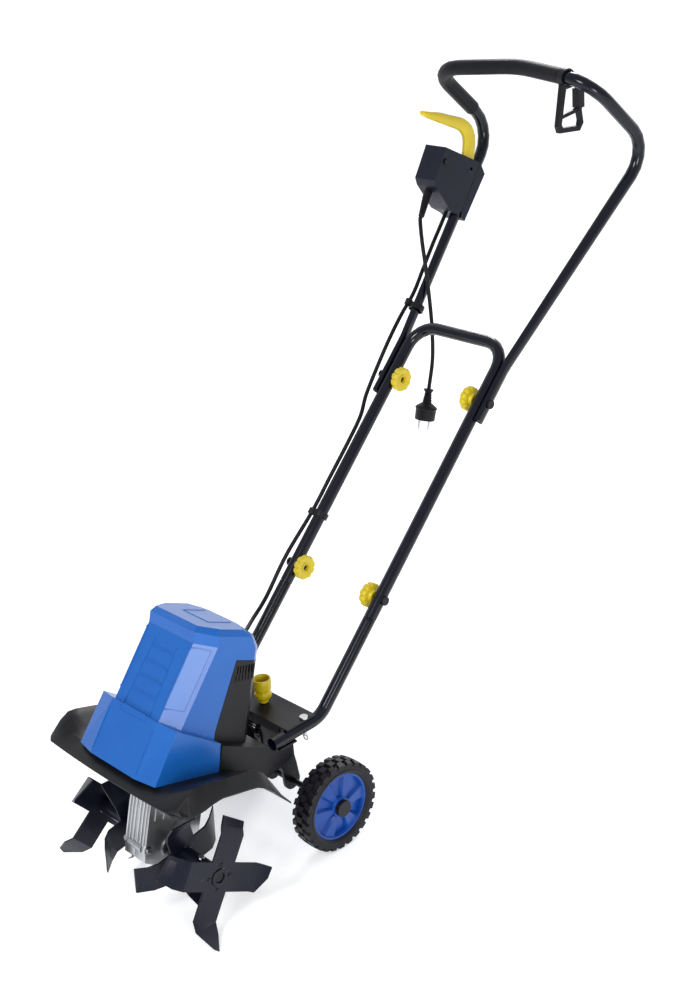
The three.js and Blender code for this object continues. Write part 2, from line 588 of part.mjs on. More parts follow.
let rearFrame = join(
  ...[-1, 1].map((s) => plateXZ(cheek, s * CHEEK_Y - CHEEK_T / 2, s * CHEEK_Y + CHEEK_T / 2)),
  backWall, frontWall, earPlate(EAR_Y + 2), earPlate(-EAR_Y - 2),
  ...[-1, 1].map((s) => block(34, TUBE_D - 2, 3, -184, s * (CHEEK_Y + TUBE_R), TUBE_FOOT_Z - TUBE_R - GAP - 1.5)),
);
rearFrame = cut(rearFrame, rod(PIVOT_R + GAP, 200, 'y', PIVOT_X, 0, PIVOT_Z, 16));
add('rear_frame', rearFrame, 'black');

// Cross plate over the tube feet, with its front edge turned down.
const PLATE_FRONT = -185;
const PLATE_REAR = -244;
const PIN_X = -225;
const KNOB_X = -217;
const KNOB_Y = 15;
const pinHoles = [-1, 1].map((s) => rod(BOLT_R + GAP, 60, 'z', PIN_X, s * HALF_TRACK, PLATE_Z, 8));
add('cross_plate', cut(
  join(
    block(PLATE_FRONT - PLATE_REAR, 208, PLATE_T, (PLATE_FRONT + PLATE_REAR) / 2, 0, PLATE_Z + GAP + PLATE_T / 2),
    block(PLATE_T, 2 * (HALF_TRACK - TUBE_R - 3), 17, PLATE_FRONT - PLATE_T / 2, 0, PLATE_Z + GAP - 5.5),
    rod(9, 8, 'z', KNOB_X, KNOB_Y, PLATE_Z - 2, 16),
  ),
  ...pinHoles,
  rod(4 + GAP, 80, 'z', KNOB_X, KNOB_Y, PLATE_Z, 14),
), 'black');
for (const [name, side] of SIDES) {
  const y = side * HALF_TRACK;
  add(`clevis_pin_${name}`, join(
    rod(BOLT_R, 2 * TUBE_R + 14, 'z', PIN_X, y, TUBE_FOOT_Z, 8),
    rod(6.5, 3, 'z', PIN_X, y, PLATE_Z + GAP + PLATE_T + GAP + 1.5, 16),
    pipe(5.5, 4, 1.8, 'x', PIN_X, y, TUBE_FOOT_Z - TUBE_R - 10, 12),
  ), 'steel');
}

// ---------- handle tubes ----------
const alongHandle = (x, y) => V(x, y, lineZ(x));
const SEAM_X = LOWER_BOLT_X + 24.5;
const INNER_R = TUBE_R - TUBE_WALL;
const NECK_R = INNER_R * Math.cos(Math.PI / BORE_SIDES) - GAP / 2;
const NECK_INNER = NECK_R - TUBE_WALL;
const bendX = (LINE_Z - TUBE_FOOT_Z) / Math.tan(slope);
const neckEnd = SEAM_X - NECK_LENGTH * Math.cos(slope);
const boltHole = (x) => rod(BOLT_R + GAP, 400, 'y', x, 0, lineZ(x), 8);
for (const [name, side] of SIDES) {
  const y = side * HALF_TRACK;
  const corners = [V(TUBE_FOOT_X, y, TUBE_FOOT_Z), V(bendX, y, TUBE_FOOT_Z), alongHandle(SEAM_X, y)];
  const shoulder = alongHandle(SEAM_X + 4, y);
  const body = sweep(rounded(corners, BEND_R, 5), TUBE_R, INNER_R);
  const collar = sweep([shoulder, alongHandle(SEAM_X, y)], TUBE_R, NECK_INNER);
  const neck = sweep([shoulder, alongHandle(neckEnd, y)], NECK_R, NECK_INNER);
  add(`lower_tube_${name}`, cut(join(body, collar, neck), boltHole(LOWER_BOLT_X), ...pinHoles), 'gloss');
}
const braceCorners = [alongHandle(SEAM_X - GAP, HALF_TRACK), alongHandle(BRACE_X, HALF_TRACK),
  alongHandle(BRACE_X, -HALF_TRACK), alongHandle(SEAM_X - GAP, -HALF_TRACK)];
add('middle_tube', cut(
  sweep(rounded(braceCorners, BEND_R, 6), TUBE_R, INNER_R),
  boltHole(LOWER_BOLT_X), boltHole(UPPER_BOLT_X),
), 'gloss');

// Upper handle: one loop, its legs outside the middle tube.
const LEG_TAIL = 33;                   // leg below the upper bolt
const FLARE_X = -700;
const BEND = V(-1004.4, 167.4, 957.6);
const CORNER = V(-859.9, 163.3, 1084.8);
const BAR_MID = V(-884, 0, 1094.8);
const mirror = (p) => V(p.x, -p.y, p.z);
const legEnd = UPPER_BOLT_X + LEG_TAIL * Math.cos(slope);
const halfHandle = [alongHandle(legEnd, LEG_Y), alongHandle(FLARE_X, LEG_Y), BEND, CORNER];
const CORNER_R = 48;
const handleRadii = [120, 52, CORNER_R, 200, CORNER_R, 52, 120];
const FLARE = (BEND.y - LEG_Y) / (FLARE_X - BEND.x);
const FLAT_END = 712;                  // the flattened stretch eases into the round tube here
// Presses the ends of the legs flat, about the axis of the leg.
function pressLegs(position) {
  for (let i = 0; i < position.count; i += 1) {
    const [x, y] = [position.getX(i), position.getY(i)];
    const round = smoothstep(-x, FLAT_END, FLAT_END + 34);
    const share = LEG_FLAT / TUBE_D + (1 - LEG_FLAT / TUBE_D) * round;
    const axis = Math.sign(y) * (LEG_Y + Math.max(0, FLARE_X - x) * FLARE);
    if (round < 1 && position.getZ(i) < BEND.z) position.setY(i, axis + (y - axis) * share);
  }
}
add('upper_handle', cut(
  sweep(rounded([...halfHandle, BAR_MID, ...halfHandle.map(mirror).reverse()], handleRadii, 5), TUBE_R, INNER_R,
    TUBE_SIDES, BORE_SIDES, pressLegs),
  boltHole(UPPER_BOLT_X),
), 'gloss');
const SLEEVE_START = 0.34;             // along the slanted part, from the bend
const SLEEVE_END_Y = 99;
const barPoint = (y) => BAR_MID.clone().lerp(y > 0 ? CORNER : mirror(CORNER), Math.abs(y) / CORNER.y);
const sleevePath = rounded([mirror(BEND).lerp(mirror(CORNER), SLEEVE_START), mirror(CORNER), BAR_MID, barPoint(SLEEVE_END_Y)],
  [CORNER_R, 200], 5);
const clearR = (r, sides = TUBE_SIDES) => r / Math.cos(Math.PI / sides) + GAP;
add('grip_sleeve', sweep(sleevePath, GRIP_R, clearR(TUBE_R), TUBE_SIDES, TUBE_SIDES), 'rubber');

// Carriage bolts and star knobs at both joints of the handle.
const HEAD_T = 3.4;
const KNOB_T = 12;
for (const [name, side] of SIDES) {
  for (const [level, x, outer] of [['lower', LOWER_BOLT_X, HALF_TRACK + TUBE_R], ['upper', UPPER_BOLT_X, LEG_Y + LEG_FLAT / 2]]) {
    const z = lineZ(x);
    const knobFace = HALF_TRACK - TUBE_R - GAP;
    const headFace = outer + GAP;
    const length = headFace - knobFace + KNOB_T + 2;
    add(`${level}_bolt_${name}`, join(
      rod(BOLT_R, length, 'y', x, side * (headFace + 1 - length / 2), z, 8),
      rod(7.5, HEAD_T, 'y', x, side * (headFace + HEAD_T / 2), z, 16),
    ), 'steel');
    const lobes = Array.from({ length: 32 }, (_, i) => {
      const t = (2 * Math.PI * i) / 32;
      const r = KNOB_R - 2 + 2 * Math.cos(8 * t);
      return [x + r * Math.cos(t), z + r * Math.sin(t)];
    });
    const [a, b] = [knobFace - 5 - KNOB_T, knobFace - 5].map((v) => v * side).sort((p, q) => p - q);
    add(`star_knob_${level}_${name}`, cut(
      join(plateXZ(lobes, a, b), rod(9, 6, 'y', x, side * (knobFace - 3), z, 16)),
      rod(BOLT_R + GAP, 60, 'y', x, side * knobFace, z, 12),
    ), 'yellow');
  }
}

// ---------- wheels ----------
const WHEEL_IN = WHEEL_Y - WHEEL_W;
const RIM_R = 55.7;
const ARM_FOOT_R = 13;
const SECTOR_R = 18;
const armOutline = [
  ...arc(PIVOT_X, PIVOT_Z, SECTOR_R, 10, 110, 6), [-240, 178], [-259, 147], [-259, 120], [-262, 104],
  ...arc(WHEEL_X, WHEEL_R, ARM_FOOT_R + 3, 160, 350, 9), [-232, 104], [-214, 132], [-196, 160],
];
const armHoles = [[PIVOT_X, PIVOT_Z, PIVOT_R + GAP], [WHEEL_X, WHEEL_R, AXLE_R + GAP]];
const armPlate = (y) => plateXZ(armOutline, y - ARM_T / 2, y + ARM_T / 2, armHoles);
const sector = cut(rod(SECTOR_R, 12, 'y', PIVOT_X, KNOB_Y + 1, PIVOT_Z, 20), rod(PIVOT_R + GAP, 60, 'y', PIVOT_X, 0, PIVOT_Z, 16));
add('wheel_arm', join(
  armPlate(ARM_Y), armPlate(-ARM_Y), sector,
  block(12, 2 * ARM_Y, 22, -246, 0, 140), block(8, 2 * ARM_Y, 16, -216, 0, 152),
), 'black');
add('arm_pivot', join(
  rod(PIVOT_R, 2 * (EAR_Y + 9), 'y', PIVOT_X, 0, PIVOT_Z, 16),
  rod(9, 4, 'y', PIVOT_X, EAR_Y + 8, PIVOT_Z, 6),
  rod(9, 4, 'y', PIVOT_X, -EAR_Y - 8, PIVOT_Z, 6),
), 'steel');
add('wheel_axle', join(
  rod(AXLE_R, 2 * WHEEL_Y + 6, 'y', WHEEL_X, 0, WHEEL_R, 14),
  ...[-1, 1].map((s) => rod(14, 6, 'y', WHEEL_X, s * (WHEEL_Y + 3), WHEEL_R, 20)),
), 'black');
for (const [name, side] of SIDES) {
  const [y0, y1] = [WHEEL_IN, WHEEL_Y];
  const mid = (y0 + y1) / 2;
  const lathe = (profile) => turned((side > 0 ? profile : profile.map(([r, y]) => [r, -y]).reverse()), WHEEL_X, WHEEL_R, 28);
  const tyre = [[RIM_R, y0 + 4], [WHEEL_R - 4, y0], [WHEEL_R, y0 + 6], [WHEEL_R, y1 - 6], [WHEEL_R - 4, y1], [RIM_R, y1 - 4]];
  add(`tyre_${name}`, lathe([...tyre, tyre[0]]), 'rubber');
  const seatR = RIM_R - GAP;
  const disc = [[AXLE_R + GAP, y0 + 2], [16, y0 + 2], [16, mid - 2], [seatR - 4, mid - 2], [seatR - 4, y0 + 4], [seatR, y0 + 4],
    [seatR, y1 - 4], [seatR - 4, y1 - 4], [seatR - 4, mid + 4], [17, mid + 8], [17, y1 - 1], [AXLE_R + GAP, y1 - 1]];
  add(`wheel_disc_${name}`, lathe([...disc, disc[0]]), 'blue');
}

// Spring catch of the wheel arm: a cup knob on a rod, held down by a coil spring.
const KNOB_FOOT = PLATE_Z + GAP + PLATE_T + 0.8;
const CATCH_FOOT = PIVOT_Z + SECTOR_R + RUN;
add('pull_knob', join(
  rod(4, KNOB_FOOT + 8 - CATCH_FOOT, 'z', KNOB_X, KNOB_Y, (KNOB_FOOT + 8 + CATCH_FOOT) / 2, 14),
  cut(rod(14.5, 34, 'z', KNOB_X, KNOB_Y, KNOB_FOOT + 8 + 17, 20), rod(11.5, 26, 'z', KNOB_X, KNOB_Y, KNOB_FOOT + 8 + 24, 20)),
  rod(8, 8, 'z', KNOB_X, KNOB_Y, KNOB_FOOT + 5, 16),
  rod(7, 2, 'z', KNOB_X, KNOB_Y, CATCH_FOOT + 2.5, 14),
), 'yellow');
const SPRING_LENGTH = 17;
add('lock_spring', pipe(6.6, 4.6, SPRING_LENGTH, 'z', KNOB_X, KNOB_Y, CATCH_FOOT + 4.2 + SPRING_LENGTH / 2, 14), 'steel');

// ---------- switch box on the right leg ----------
const BOX_NEAR = -135;
const BOX_FAR = -181;
const BOX_WALL = 3;
const boxFrontOutline = [[-851, 958], [-935, 914], [-878, 833], [-855, 848], [-823, 896], [-820, 908]];
const boxRearOutline = [[-936, 913.6], [-946, 892], [-889, 822], [-878.6, 832.6]];
const cavityOutline = [[-852, 953], [-929, 912], [-925, 903], [-860, 855], [-826, 898], [-824, 907]];
const LEVER_PIVOT = [-912, 908];
const LEVER_Y = -147;
const LEVER_HALF = 8;
const LEVER_PIN_R = 3;
const BUTTON = V(-849, BOX_NEAR, 934);
const BUTTON_R = 5;
const legCurve = rounded([...halfHandle, BAR_MID].map(mirror), [120, 52, CORNER_R], 5);
const legClearance = sweep(legCurve, clearR(TUBE_R));
const BOOT_START = V(-829, -160, 886.5);
const BOOT_END = V(-796, -150, 846);
const bootLine = BOOT_END.clone().sub(BOOT_START).normalize();
const onBoot = (t) => BOOT_START.clone().addScaledVector(bootLine, t);
const BOOT_PLUG_R = 5.2;

// Motor cable: down the outer side of the right leg and tube; it flexes where the handle folds.
const upperCable = new THREE.CatmullRomCurve3([V(-872, -157.5, 846), V(-850, -155.5, 821), V(-824, -151, 796),
  V(-754, -136, 728.5), V(-716, -131, 701), V(-680, -127.5, 668), V(-645, -126, 627.5)]);
const lowerCable = new THREE.CatmullRomCurve3([V(-644.4, -126, 626.9), V(-612, -121, 592), V(-588, -113, 564),
  V(-554, -110, 531), V(-460, -110, 437), V(-396, -112, 380), V(-344, -110, 326), V(-300, -98, 306),
  V(-250, -62, 313), V(-208, -31, 326), V(-187.8, -25.1, 332)]);
const sampled = (curve, step) => curve.getSpacedPoints(Math.round(curve.getLength() / step));
const CABLE_STEP = 18;
const CABLE_SIDES = 8;
const upperCablePath = sampled(upperCable, CABLE_STEP);
const cableClearance = sweep(upperCablePath, CABLE_R + GAP, 0, CABLE_SIDES);
add('motor_cable_upper', sweep(upperCablePath, CABLE_R, 0, CABLE_SIDES), 'rubber');
add('motor_cable_lower', sweep(sampled(lowerCable, CABLE_STEP), CABLE_R, 0, CABLE_SIDES), 'rubber');

const boxCutters = [
  legClearance, cableClearance,
  block(60, 2 * (LEVER_HALF + RUN), 50, -920, LEVER_Y, 925),
  rod(LEVER_PIN_R + GAP, 120, 'y', LEVER_PIVOT[0], BOX_NEAR, LEVER_PIVOT[1], 12),
  rod(BUTTON_R + GAP, 24, 'y', BUTTON.x, BOX_NEAR, BUTTON.z, 16),
  between(onBoot(-16), onBoot(12), BOOT_PLUG_R + GAP),
];
add('switch_box_front', cut(
  plateXZ(boxFrontOutline, BOX_FAR, BOX_NEAR),
  plateXZ(cavityOutline, BOX_FAR + BOX_WALL, BOX_NEAR - BOX_WALL),
  ...boxCutters,
), 'black');
add('switch_box_rear', cut(plateXZ(boxRearOutline, BOX_FAR, BOX_NEAR), legClearance, cableClearance), 'black');
const leverOutline = [[-934, 923], ...arc(...LEVER_PIVOT, 8, 170, 350, 8), [-898, 935], [-896, 962], [-904, 982],
  [-874, 991], [-826, 1012], [-806, 1022], [-808, 1029], [-862, 1021], [-925, 998], [-941, 984], [-946, 966]];
add('switch_lever', join(
  plateXZ(leverOutline, LEVER_Y - LEVER_HALF, LEVER_Y + LEVER_HALF),
  rod(LEVER_PIN_R, 44, 'y', LEVER_PIVOT[0], (BOX_NEAR + BOX_FAR) / 2, LEVER_PIVOT[1], 12),
), 'yellow');
add('lock_button', join(
  rod(BUTTON_R, 14, 'y', BUTTON.x, BUTTON.y - 4, BUTTON.z, 16),
  rod(BUTTON_R + 2, 2, 'y', BUTTON.x, BOX_NEAR - BOX_WALL - RUN - 1, BUTTON.z, 16),
), 'black');
add('microswitch', block(24, 12, 17, -866, BOX_FAR + BOX_WALL + GAP + 6, 890), 'black');
add('cable_boot', join(
  between(onBoot(-9), onBoot(4), BOOT_PLUG_R),
  between(onBoot(3.4), onBoot(49), 7.4, 5, 14),
), 'rubber');

// ---------- supply cord and plug ----------
const PLUG_TOP = V(-750, -108, 562);
const plugLine = V(0.27, 0, -0.963).normalize();
const onPlug = (t) => PLUG_TOP.clone().addScaledVector(plugLine, t);
const CORD_POINTS = [onBoot(49 + 2 * GAP), onBoot(56), V(-779, -133, 814), V(-771, -120, 772), V(-767, -111, 715),
  V(-766, -108, 665), V(-763, -108, 612), onPlug(-GAP)];
add('supply_cord', sweep(sampled(new THREE.CatmullRomCurve3(CORD_POINTS), 15), CORD_R, 0, 8), 'rubber');
const across = V(0.35, 0.94, 0).cross(plugLine).normalize();
add('plug', join(
  between(onPlug(0), onPlug(4), 8.5, 8.5, 16),
  between(onPlug(3), onPlug(26), 6.2, 8.6, 16),
  between(onPlug(25), onPlug(34), 10, 19.5, 20),
  between(onPlug(33), onPlug(55), 18, 17.4, 20),
  ...[-1, 1].map((s) => between(onPlug(54).addScaledVector(across, 9.5 * s), onPlug(73).addScaledVector(across, 9.5 * s), 2.4, 2.4, 10)),
), 'rubber');

// ---------- clips of the motor cable ----------
function clip(name, tubeAt, tubeLine, cableAt) {
  const span = (p, half) => [p.clone().addScaledVector(tubeLine, -half), p.clone().addScaledVector(tubeLine, half)];
  add(name, cut(
    join(between(...span(tubeAt, 5), TUBE_R + 3, TUBE_R + 3, 18), between(...span(cableAt, 5), CABLE_R + 3, CABLE_R + 3, 14)),
    between(...span(tubeAt, 9), clearR(TUBE_R), clearR(TUBE_R), 14),
    between(...span(cableAt, 9), CABLE_R + 3 * GAP, CABLE_R + 3 * GAP, 12),
  ), 'black');
}
const UPPER_CLIP_X = -745;
const LOWER_CLIP_X = -467;
const nearest = (path, x) => {
  const i = path.findIndex((p) => p.x > x);
  return path[i - 1].clone().lerp(path[i], (x - path[i - 1].x) / (path[i].x - path[i - 1].x));
};
const legAt = mirror(halfHandle[1]).lerp(mirror(BEND), (UPPER_CLIP_X - FLARE_X) / (BEND.x - FLARE_X));
clip('cable_clip_upper', legAt, mirror(BEND).sub(mirror(halfHandle[1])).normalize(), nearest(upperCablePath, UPPER_CLIP_X + 6));
clip('cable_clip_lower', alongHandle(LOWER_CLIP_X, -HALF_TRACK), V(UP.x, 0, UP.y), nearest(sampled(lowerCable, CABLE_STEP), LOWER_CLIP_X + 7));

// ---------- cord hook, hanging from the bar ----------
const HOOK_Y = 108;
const hookAt = barPoint(HOOK_Y);
const barLine = CORNER.clone().sub(BAR_MID).normalize();
const onBar = (t) => hookAt.clone().addScaledVector(barLine, t);
const hookOutline = [[-6, -6], [12, -10], [24, -72], [20, -83], [-30, -88], [-39, -77], [-35, -56], [-39, -40], [-35, -18], [-18, -6]];
const hookHole = [[3, -18], [15, -70], [12, -76], [-29, -80], [-31, -72], [-27, -56], [-27, -20], [-16, -17]];
const shifted = (points) => points.map(([x, z]) => [hookAt.x + x, hookAt.z + z]);
add('cord_hook', cut(
  join(
    between(onBar(-6), onBar(6), TUBE_R + 4, TUBE_R + 4, 18),
    plateXZ(shifted(hookOutline), HOOK_Y - 4, HOOK_Y + 4).subtract(plateXZ(shifted(hookHole), HOOK_Y - 6, HOOK_Y + 6)),
    plateXZ(shifted([[-38, -22], [-25, -22], [-25, -52], [-38, -52]]), HOOK_Y - 7, HOOK_Y + 7),
    plateXZ(shifted([[-35, -57], [19, -63], [19, -57], [-35, -51]]), HOOK_Y - 3, HOOK_Y + 3),
  ),
  between(onBar(-12), onBar(12), clearR(TUBE_R) + GAP),
), 'black');

// ---------- origin: the middle of the bottom of the box, the cord and plug left out ----------
const CORD_PIECES = ['supply_cord', 'plug'];
const bounds = new THREE.Box3();
tiller.updateMatrixWorld(true);
tiller.traverse((part) => {
  if (part.isMesh && !CORD_PIECES.includes(part.name)) bounds.union(new THREE.Box3().setFromObject(part, true));
});
const centre = bounds.getCenter(V(0, 0, 0));
tiller.position.set(-centre.x, -centre.y, -bounds.min.z);

export default tiller;
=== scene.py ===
"""Electric garden tiller: the visual model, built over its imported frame."""
import json
import logging
import math
from dataclasses import dataclass
from enum import Enum
from functools import cache

import bmesh
import bpy
from bpy.types import Material, Node, NodeTree, Object
from mathutils import Matrix, Vector
from mathutils.bvhtree import BVHTree


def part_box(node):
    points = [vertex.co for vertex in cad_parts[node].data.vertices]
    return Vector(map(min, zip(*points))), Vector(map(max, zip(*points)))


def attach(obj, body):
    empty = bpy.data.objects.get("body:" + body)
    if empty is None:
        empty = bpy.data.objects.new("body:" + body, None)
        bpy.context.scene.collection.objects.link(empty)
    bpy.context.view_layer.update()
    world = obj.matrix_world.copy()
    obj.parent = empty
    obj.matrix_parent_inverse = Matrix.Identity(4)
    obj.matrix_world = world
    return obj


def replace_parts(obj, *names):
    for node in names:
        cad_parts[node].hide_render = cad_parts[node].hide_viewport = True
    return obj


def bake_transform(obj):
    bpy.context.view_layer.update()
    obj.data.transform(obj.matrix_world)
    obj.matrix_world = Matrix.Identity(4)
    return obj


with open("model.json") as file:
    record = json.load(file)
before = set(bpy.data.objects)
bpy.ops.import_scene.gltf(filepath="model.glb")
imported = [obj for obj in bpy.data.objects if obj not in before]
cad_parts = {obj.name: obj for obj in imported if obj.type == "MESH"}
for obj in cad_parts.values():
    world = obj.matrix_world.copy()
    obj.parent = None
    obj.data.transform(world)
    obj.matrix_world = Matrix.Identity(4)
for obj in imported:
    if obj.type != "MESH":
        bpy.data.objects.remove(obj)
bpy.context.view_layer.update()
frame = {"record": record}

log = logging.getLogger("tiller")
RECORD = frame["record"]
JOINTS = {joint["name"]: joint for joint in RECORD["behaviour"]["joints"]}
AXLE_HEIGHT = 0.09063                      # tine shaft above the ground
MM = 0.001
ORIGIN = Vector(JOINTS["tine_spin"]["pos_m"]) - Vector((0, 0, AXLE_HEIGHT))
UNIT_TILT = math.radians(16.5)             # the motor unit leans back by this much
SMOOTH_ANGLE = math.radians(38)
WELD = 0.00002                             # points of a node closer than this are one
FLAT_ANGLE = math.radians(0.6)             # faces of a node within this angle are one

Outline = list[tuple[float, float]]        # radius and height of each point, in millimetres
Place = tuple[float, float, float]         # x, y and z
Colour = tuple[float, float, float]        # linear red, green and blue


def at(x: float, y: float, z: float) -> Vector:
    """Turn a drawing position into the row's frame.

    Args:
        x: Millimetres forward of the tine shaft.
        y: Millimetres to the operator's left.
        z: Millimetres above the ground.

    Returns:
        The point in metres.
    """
    return Vector((x, y, z)) * MM + ORIGIN


def in_unit(x: float, y: float, z: float) -> Vector:
    """Turn a position measured along the tilted motor unit into the row's frame.

    Args:
        x: Millimetres forward of the tine shaft, square to the motor.
        y: Millimetres to the operator's left.
        z: Millimetres up the motor's axis.

    Returns:
        The point in metres.
    """
    turned = Matrix.Rotation(-UNIT_TILT, 3, "Y") @ Vector((x, y, z))
    return turned * MM + ORIGIN + Vector((0, 0, AXLE_HEIGHT))


def angles(steps: int) -> list[float]:
    """List evenly spaced angles, once round."""
    return [2 * math.pi * i / steps for i in range(steps)]


def turned(centre: Vector, turn: Matrix, radius: float, angle: float, height: float) -> Vector:
    """Give a point round an axis.

    Args:
        centre: Point on the axis, in metres.
        turn: Rotation that takes Z to the axis.
        radius: Distance from the axis, in millimetres.
        angle: Angle round it.
        height: Distance along it, in millimetres.

    Returns:
        The point in metres.
    """
    reach = radius * MM
    return centre + turn @ Vector((reach * math.cos(angle), reach * math.sin(angle), height * MM))


def facing(axis: Vector) -> Matrix:
    """Give the rotation that takes Z to an axis."""
    return axis.to_track_quat("Z", "Y").to_matrix()


def body_with(node: str) -> str:
    """Name the body that a CAD node belongs to."""
    return next(name for name, nodes in RECORD["behaviour"]["bodies"].items() if node in nodes)


class Side(Enum):
    """The two sides of the machine, as the operator sees them."""

    LEFT = 1
    RIGHT = -1

    @property
    def word(self) -> str:
        """Give the ending that node names use."""
        return self.name.lower()


# ---------- shader groups ----------

GREY = (0.5, 0.5, 0.5, 1)                  # default of a group's colour input; every finish sets its own


class Effect:
    """Shared shader groups, each built once and used by every finish."""

    @staticmethod
    def start(name: str, inputs: dict[str, object], outputs: tuple[str, ...]) -> NodeTree:
        """Make an empty group with its sockets.

        Args:
            name: Name of the group.
            inputs: Default value of each input; a tuple makes a colour.
            outputs: Names of the outputs; Color is a colour, the others are values.

        Returns:
            The new node tree, with its input and output nodes named In and Out.
        """
        tree = bpy.data.node_groups.new(name, "ShaderNodeTree")
        for label, value in inputs.items():
            kind = "NodeSocketColor" if isinstance(value, tuple) else "NodeSocketFloat"
            tree.interface.new_socket(label, in_out="INPUT", socket_type=kind).default_value = value
        for label in outputs:
            kind = "NodeSocketColor" if label == "Color" else "NodeSocketFloat"
            tree.interface.new_socket(label, in_out="OUTPUT", socket_type=kind)
        tree.nodes.new("NodeGroupInput").name = "In"
        tree.nodes.new("NodeGroupOutput").name = "Out"
        return tree

    @staticmethod
    def noise(tree: NodeTree, scale: object, detail: float, place: object) -> object:
        """Add a noise texture.

        Args:
            tree: Tree that receives it.
            scale: A number, or a socket that gives the scale.
            detail: Levels of detail.
            place: Socket with the coordinates.

        Returns:
            The factor output.
        """
        node = tree.nodes.new("ShaderNodeTexNoise")
        node.inputs["Detail"].default_value = detail
        if isinstance(scale, (int, float)):
            node.inputs["Scale"].default_value = scale
        else:
            tree.links.new(scale, node.inputs["Scale"])
        tree.links.new(place, node.inputs["Vector"])
        return node.outputs["Fac"]

    @staticmethod
    def math(tree: NodeTree, operation: str, *values: object) -> object:
        """Add one math node.

        Args:
            tree: Tree that receives it.
            operation: Blender's name of the operation.
            *values: Numbers or sockets, in order.

        Returns:
            The value output.
        """
        node = tree.nodes.new("ShaderNodeMath")
        node.operation = operation
        for socket, value in zip(node.inputs, values):
            if isinstance(value, (int, float)):
                socket.default_value = value
            else:
                tree.links.new(value, socket)
        return node.outputs[0]

    @staticmethod
    def step(tree: NodeTree, value: object, low: float, high: float) -> object:
        """Map a value smoothly from a range to 0..1.

        Args:
            tree: Tree that receives the node.
            value: Socket to map.
            low: Value that becomes 0.
            high: Value that becomes 1.

        Returns:
            The mapped output.
        """
        node = tree.nodes.new("ShaderNodeMapRange")
        node.interpolation_type = "SMOOTHSTEP"
        node.inputs["From Min"].default_value = low
        node.inputs["From Max"].default_value = high
        tree.links.new(value, node.inputs["Value"])
        return node.outputs["Result"]

    @staticmethod
    def mix(tree: NodeTree, share: object, first: object, second: object) -> object:
        """Blend two colours.

        Args:
            tree: Tree that receives the node.
            share: Socket with the share of the second colour.
            first: Socket of the first colour.
            second: Socket of the second colour.

        Returns:
            The colour output.
        """
        node = tree.nodes.new("ShaderNodeMix")
        node.data_type = "RGBA"
        tree.links.new(share, node.inputs["Factor"])
        tree.links.new(first, node.inputs["A"])
        tree.links.new(second, node.inputs["B"])
        return node.outputs["Result"]

    @classmethod
    @cache
    def grain(cls) -> NodeTree:
        """Give the moulded or cast grain: tone, gloss and height that vary over the surface."""
        tree = cls.start("grain", {"Colour": GREY, "Shade": GREY, "Scale": 900.0, "Tone": 0.3, "Gloss": 0.4,
                                   "Spread": 0.1}, ("Color", "Roughness", "Height"))
        given, out = tree.nodes["In"].outputs, tree.nodes["Out"].inputs
        place = tree.nodes.new("ShaderNodeTexCoord").outputs["Object"]
        fine = cls.noise(tree, given["Scale"], 3, place)
        broad = cls.noise(tree, 17, 4, place)
        middle = cls.noise(tree, cls.math(tree, "MULTIPLY", given["Scale"], 0.13), 3, place)
        blotch = cls.math(tree, "MULTIPLY", cls.step(tree, broad, 0.38, 0.66), given["Tone"])
        tree.links.new(cls.mix(tree, blotch, given["Colour"], given["Shade"]), out["Color"])
        swing = cls.math(tree, "MULTIPLY", cls.math(tree, "SUBTRACT", middle, 0.5), given["Spread"])
        tree.links.new(cls.math(tree, "ADD", given["Gloss"], swing), out["Roughness"])
        tree.links.new(cls.math(tree, "ADD", fine, cls.math(tree, "MULTIPLY", middle, 0.6)), out["Height"])
        return tree

    @classmethod
    @cache
    def wear(cls) -> NodeTree:
        """Give scuffs and specks that show what lies under the finish."""
        tree = cls.start("wear", {"Colour": GREY, "Under": GREY, "Amount": 0.1}, ("Color", "Mask"))
        given, out = tree.nodes["In"].outputs, tree.nodes["Out"].inputs
        place = tree.nodes.new("ShaderNodeTexCoord").outputs["Object"]
        stretch = tree.nodes.new("ShaderNodeMapping")
        stretch.inputs["Scale"].default_value = (0.25, 1, 1.6)
        tree.links.new(place, stretch.inputs["Vector"])
        scratch = cls.step(tree, cls.noise(tree, 420, 5, stretch.outputs["Vector"]), 0.63, 0.71)
        patch = cls.step(tree, cls.noise(tree, 38, 3, place), 0.52, 0.64)
        mask = cls.math(tree, "MULTIPLY", cls.math(tree, "MULTIPLY", scratch, patch), given["Amount"])
        tree.links.new(cls.mix(tree, mask, given["Colour"], given["Under"]), out["Color"])
        tree.links.new(mask, out["Mask"])
        return tree

    @classmethod
    @cache
    def dust(cls) -> NodeTree:
        """Give a thin film of dust on what faces up."""
        tree = cls.start("dust", {"Colour": GREY, "Dust": (0.5, 0.48, 0.44, 1), "Amount": 0.05, "Gloss": 0.4},
                         ("Color", "Roughness"))
        given, out = tree.nodes["In"].outputs, tree.nodes["Out"].inputs
        place = tree.nodes.new("ShaderNodeTexCoord").outputs["Object"]
        split = tree.nodes.new("ShaderNodeSeparateXYZ")
        tree.links.new(tree.nodes.new("ShaderNodeNewGeometry").outputs["Normal"], split.inputs[0])
        upward = cls.step(tree, split.outputs["Z"], 0.1, 1)
        cloud = cls.step(tree, cls.noise(tree, 60, 6, place), 0.35, 0.7)
        film = cls.math(tree, "MULTIPLY", cls.math(tree, "MULTIPLY", upward, cloud), given["Amount"])
        tree.links.new(cls.mix(tree, film, given["Colour"], given["Dust"]), out["Color"])
        tree.links.new(cls.math(tree, "ADD", given["Gloss"], film), out["Roughness"])
        return tree


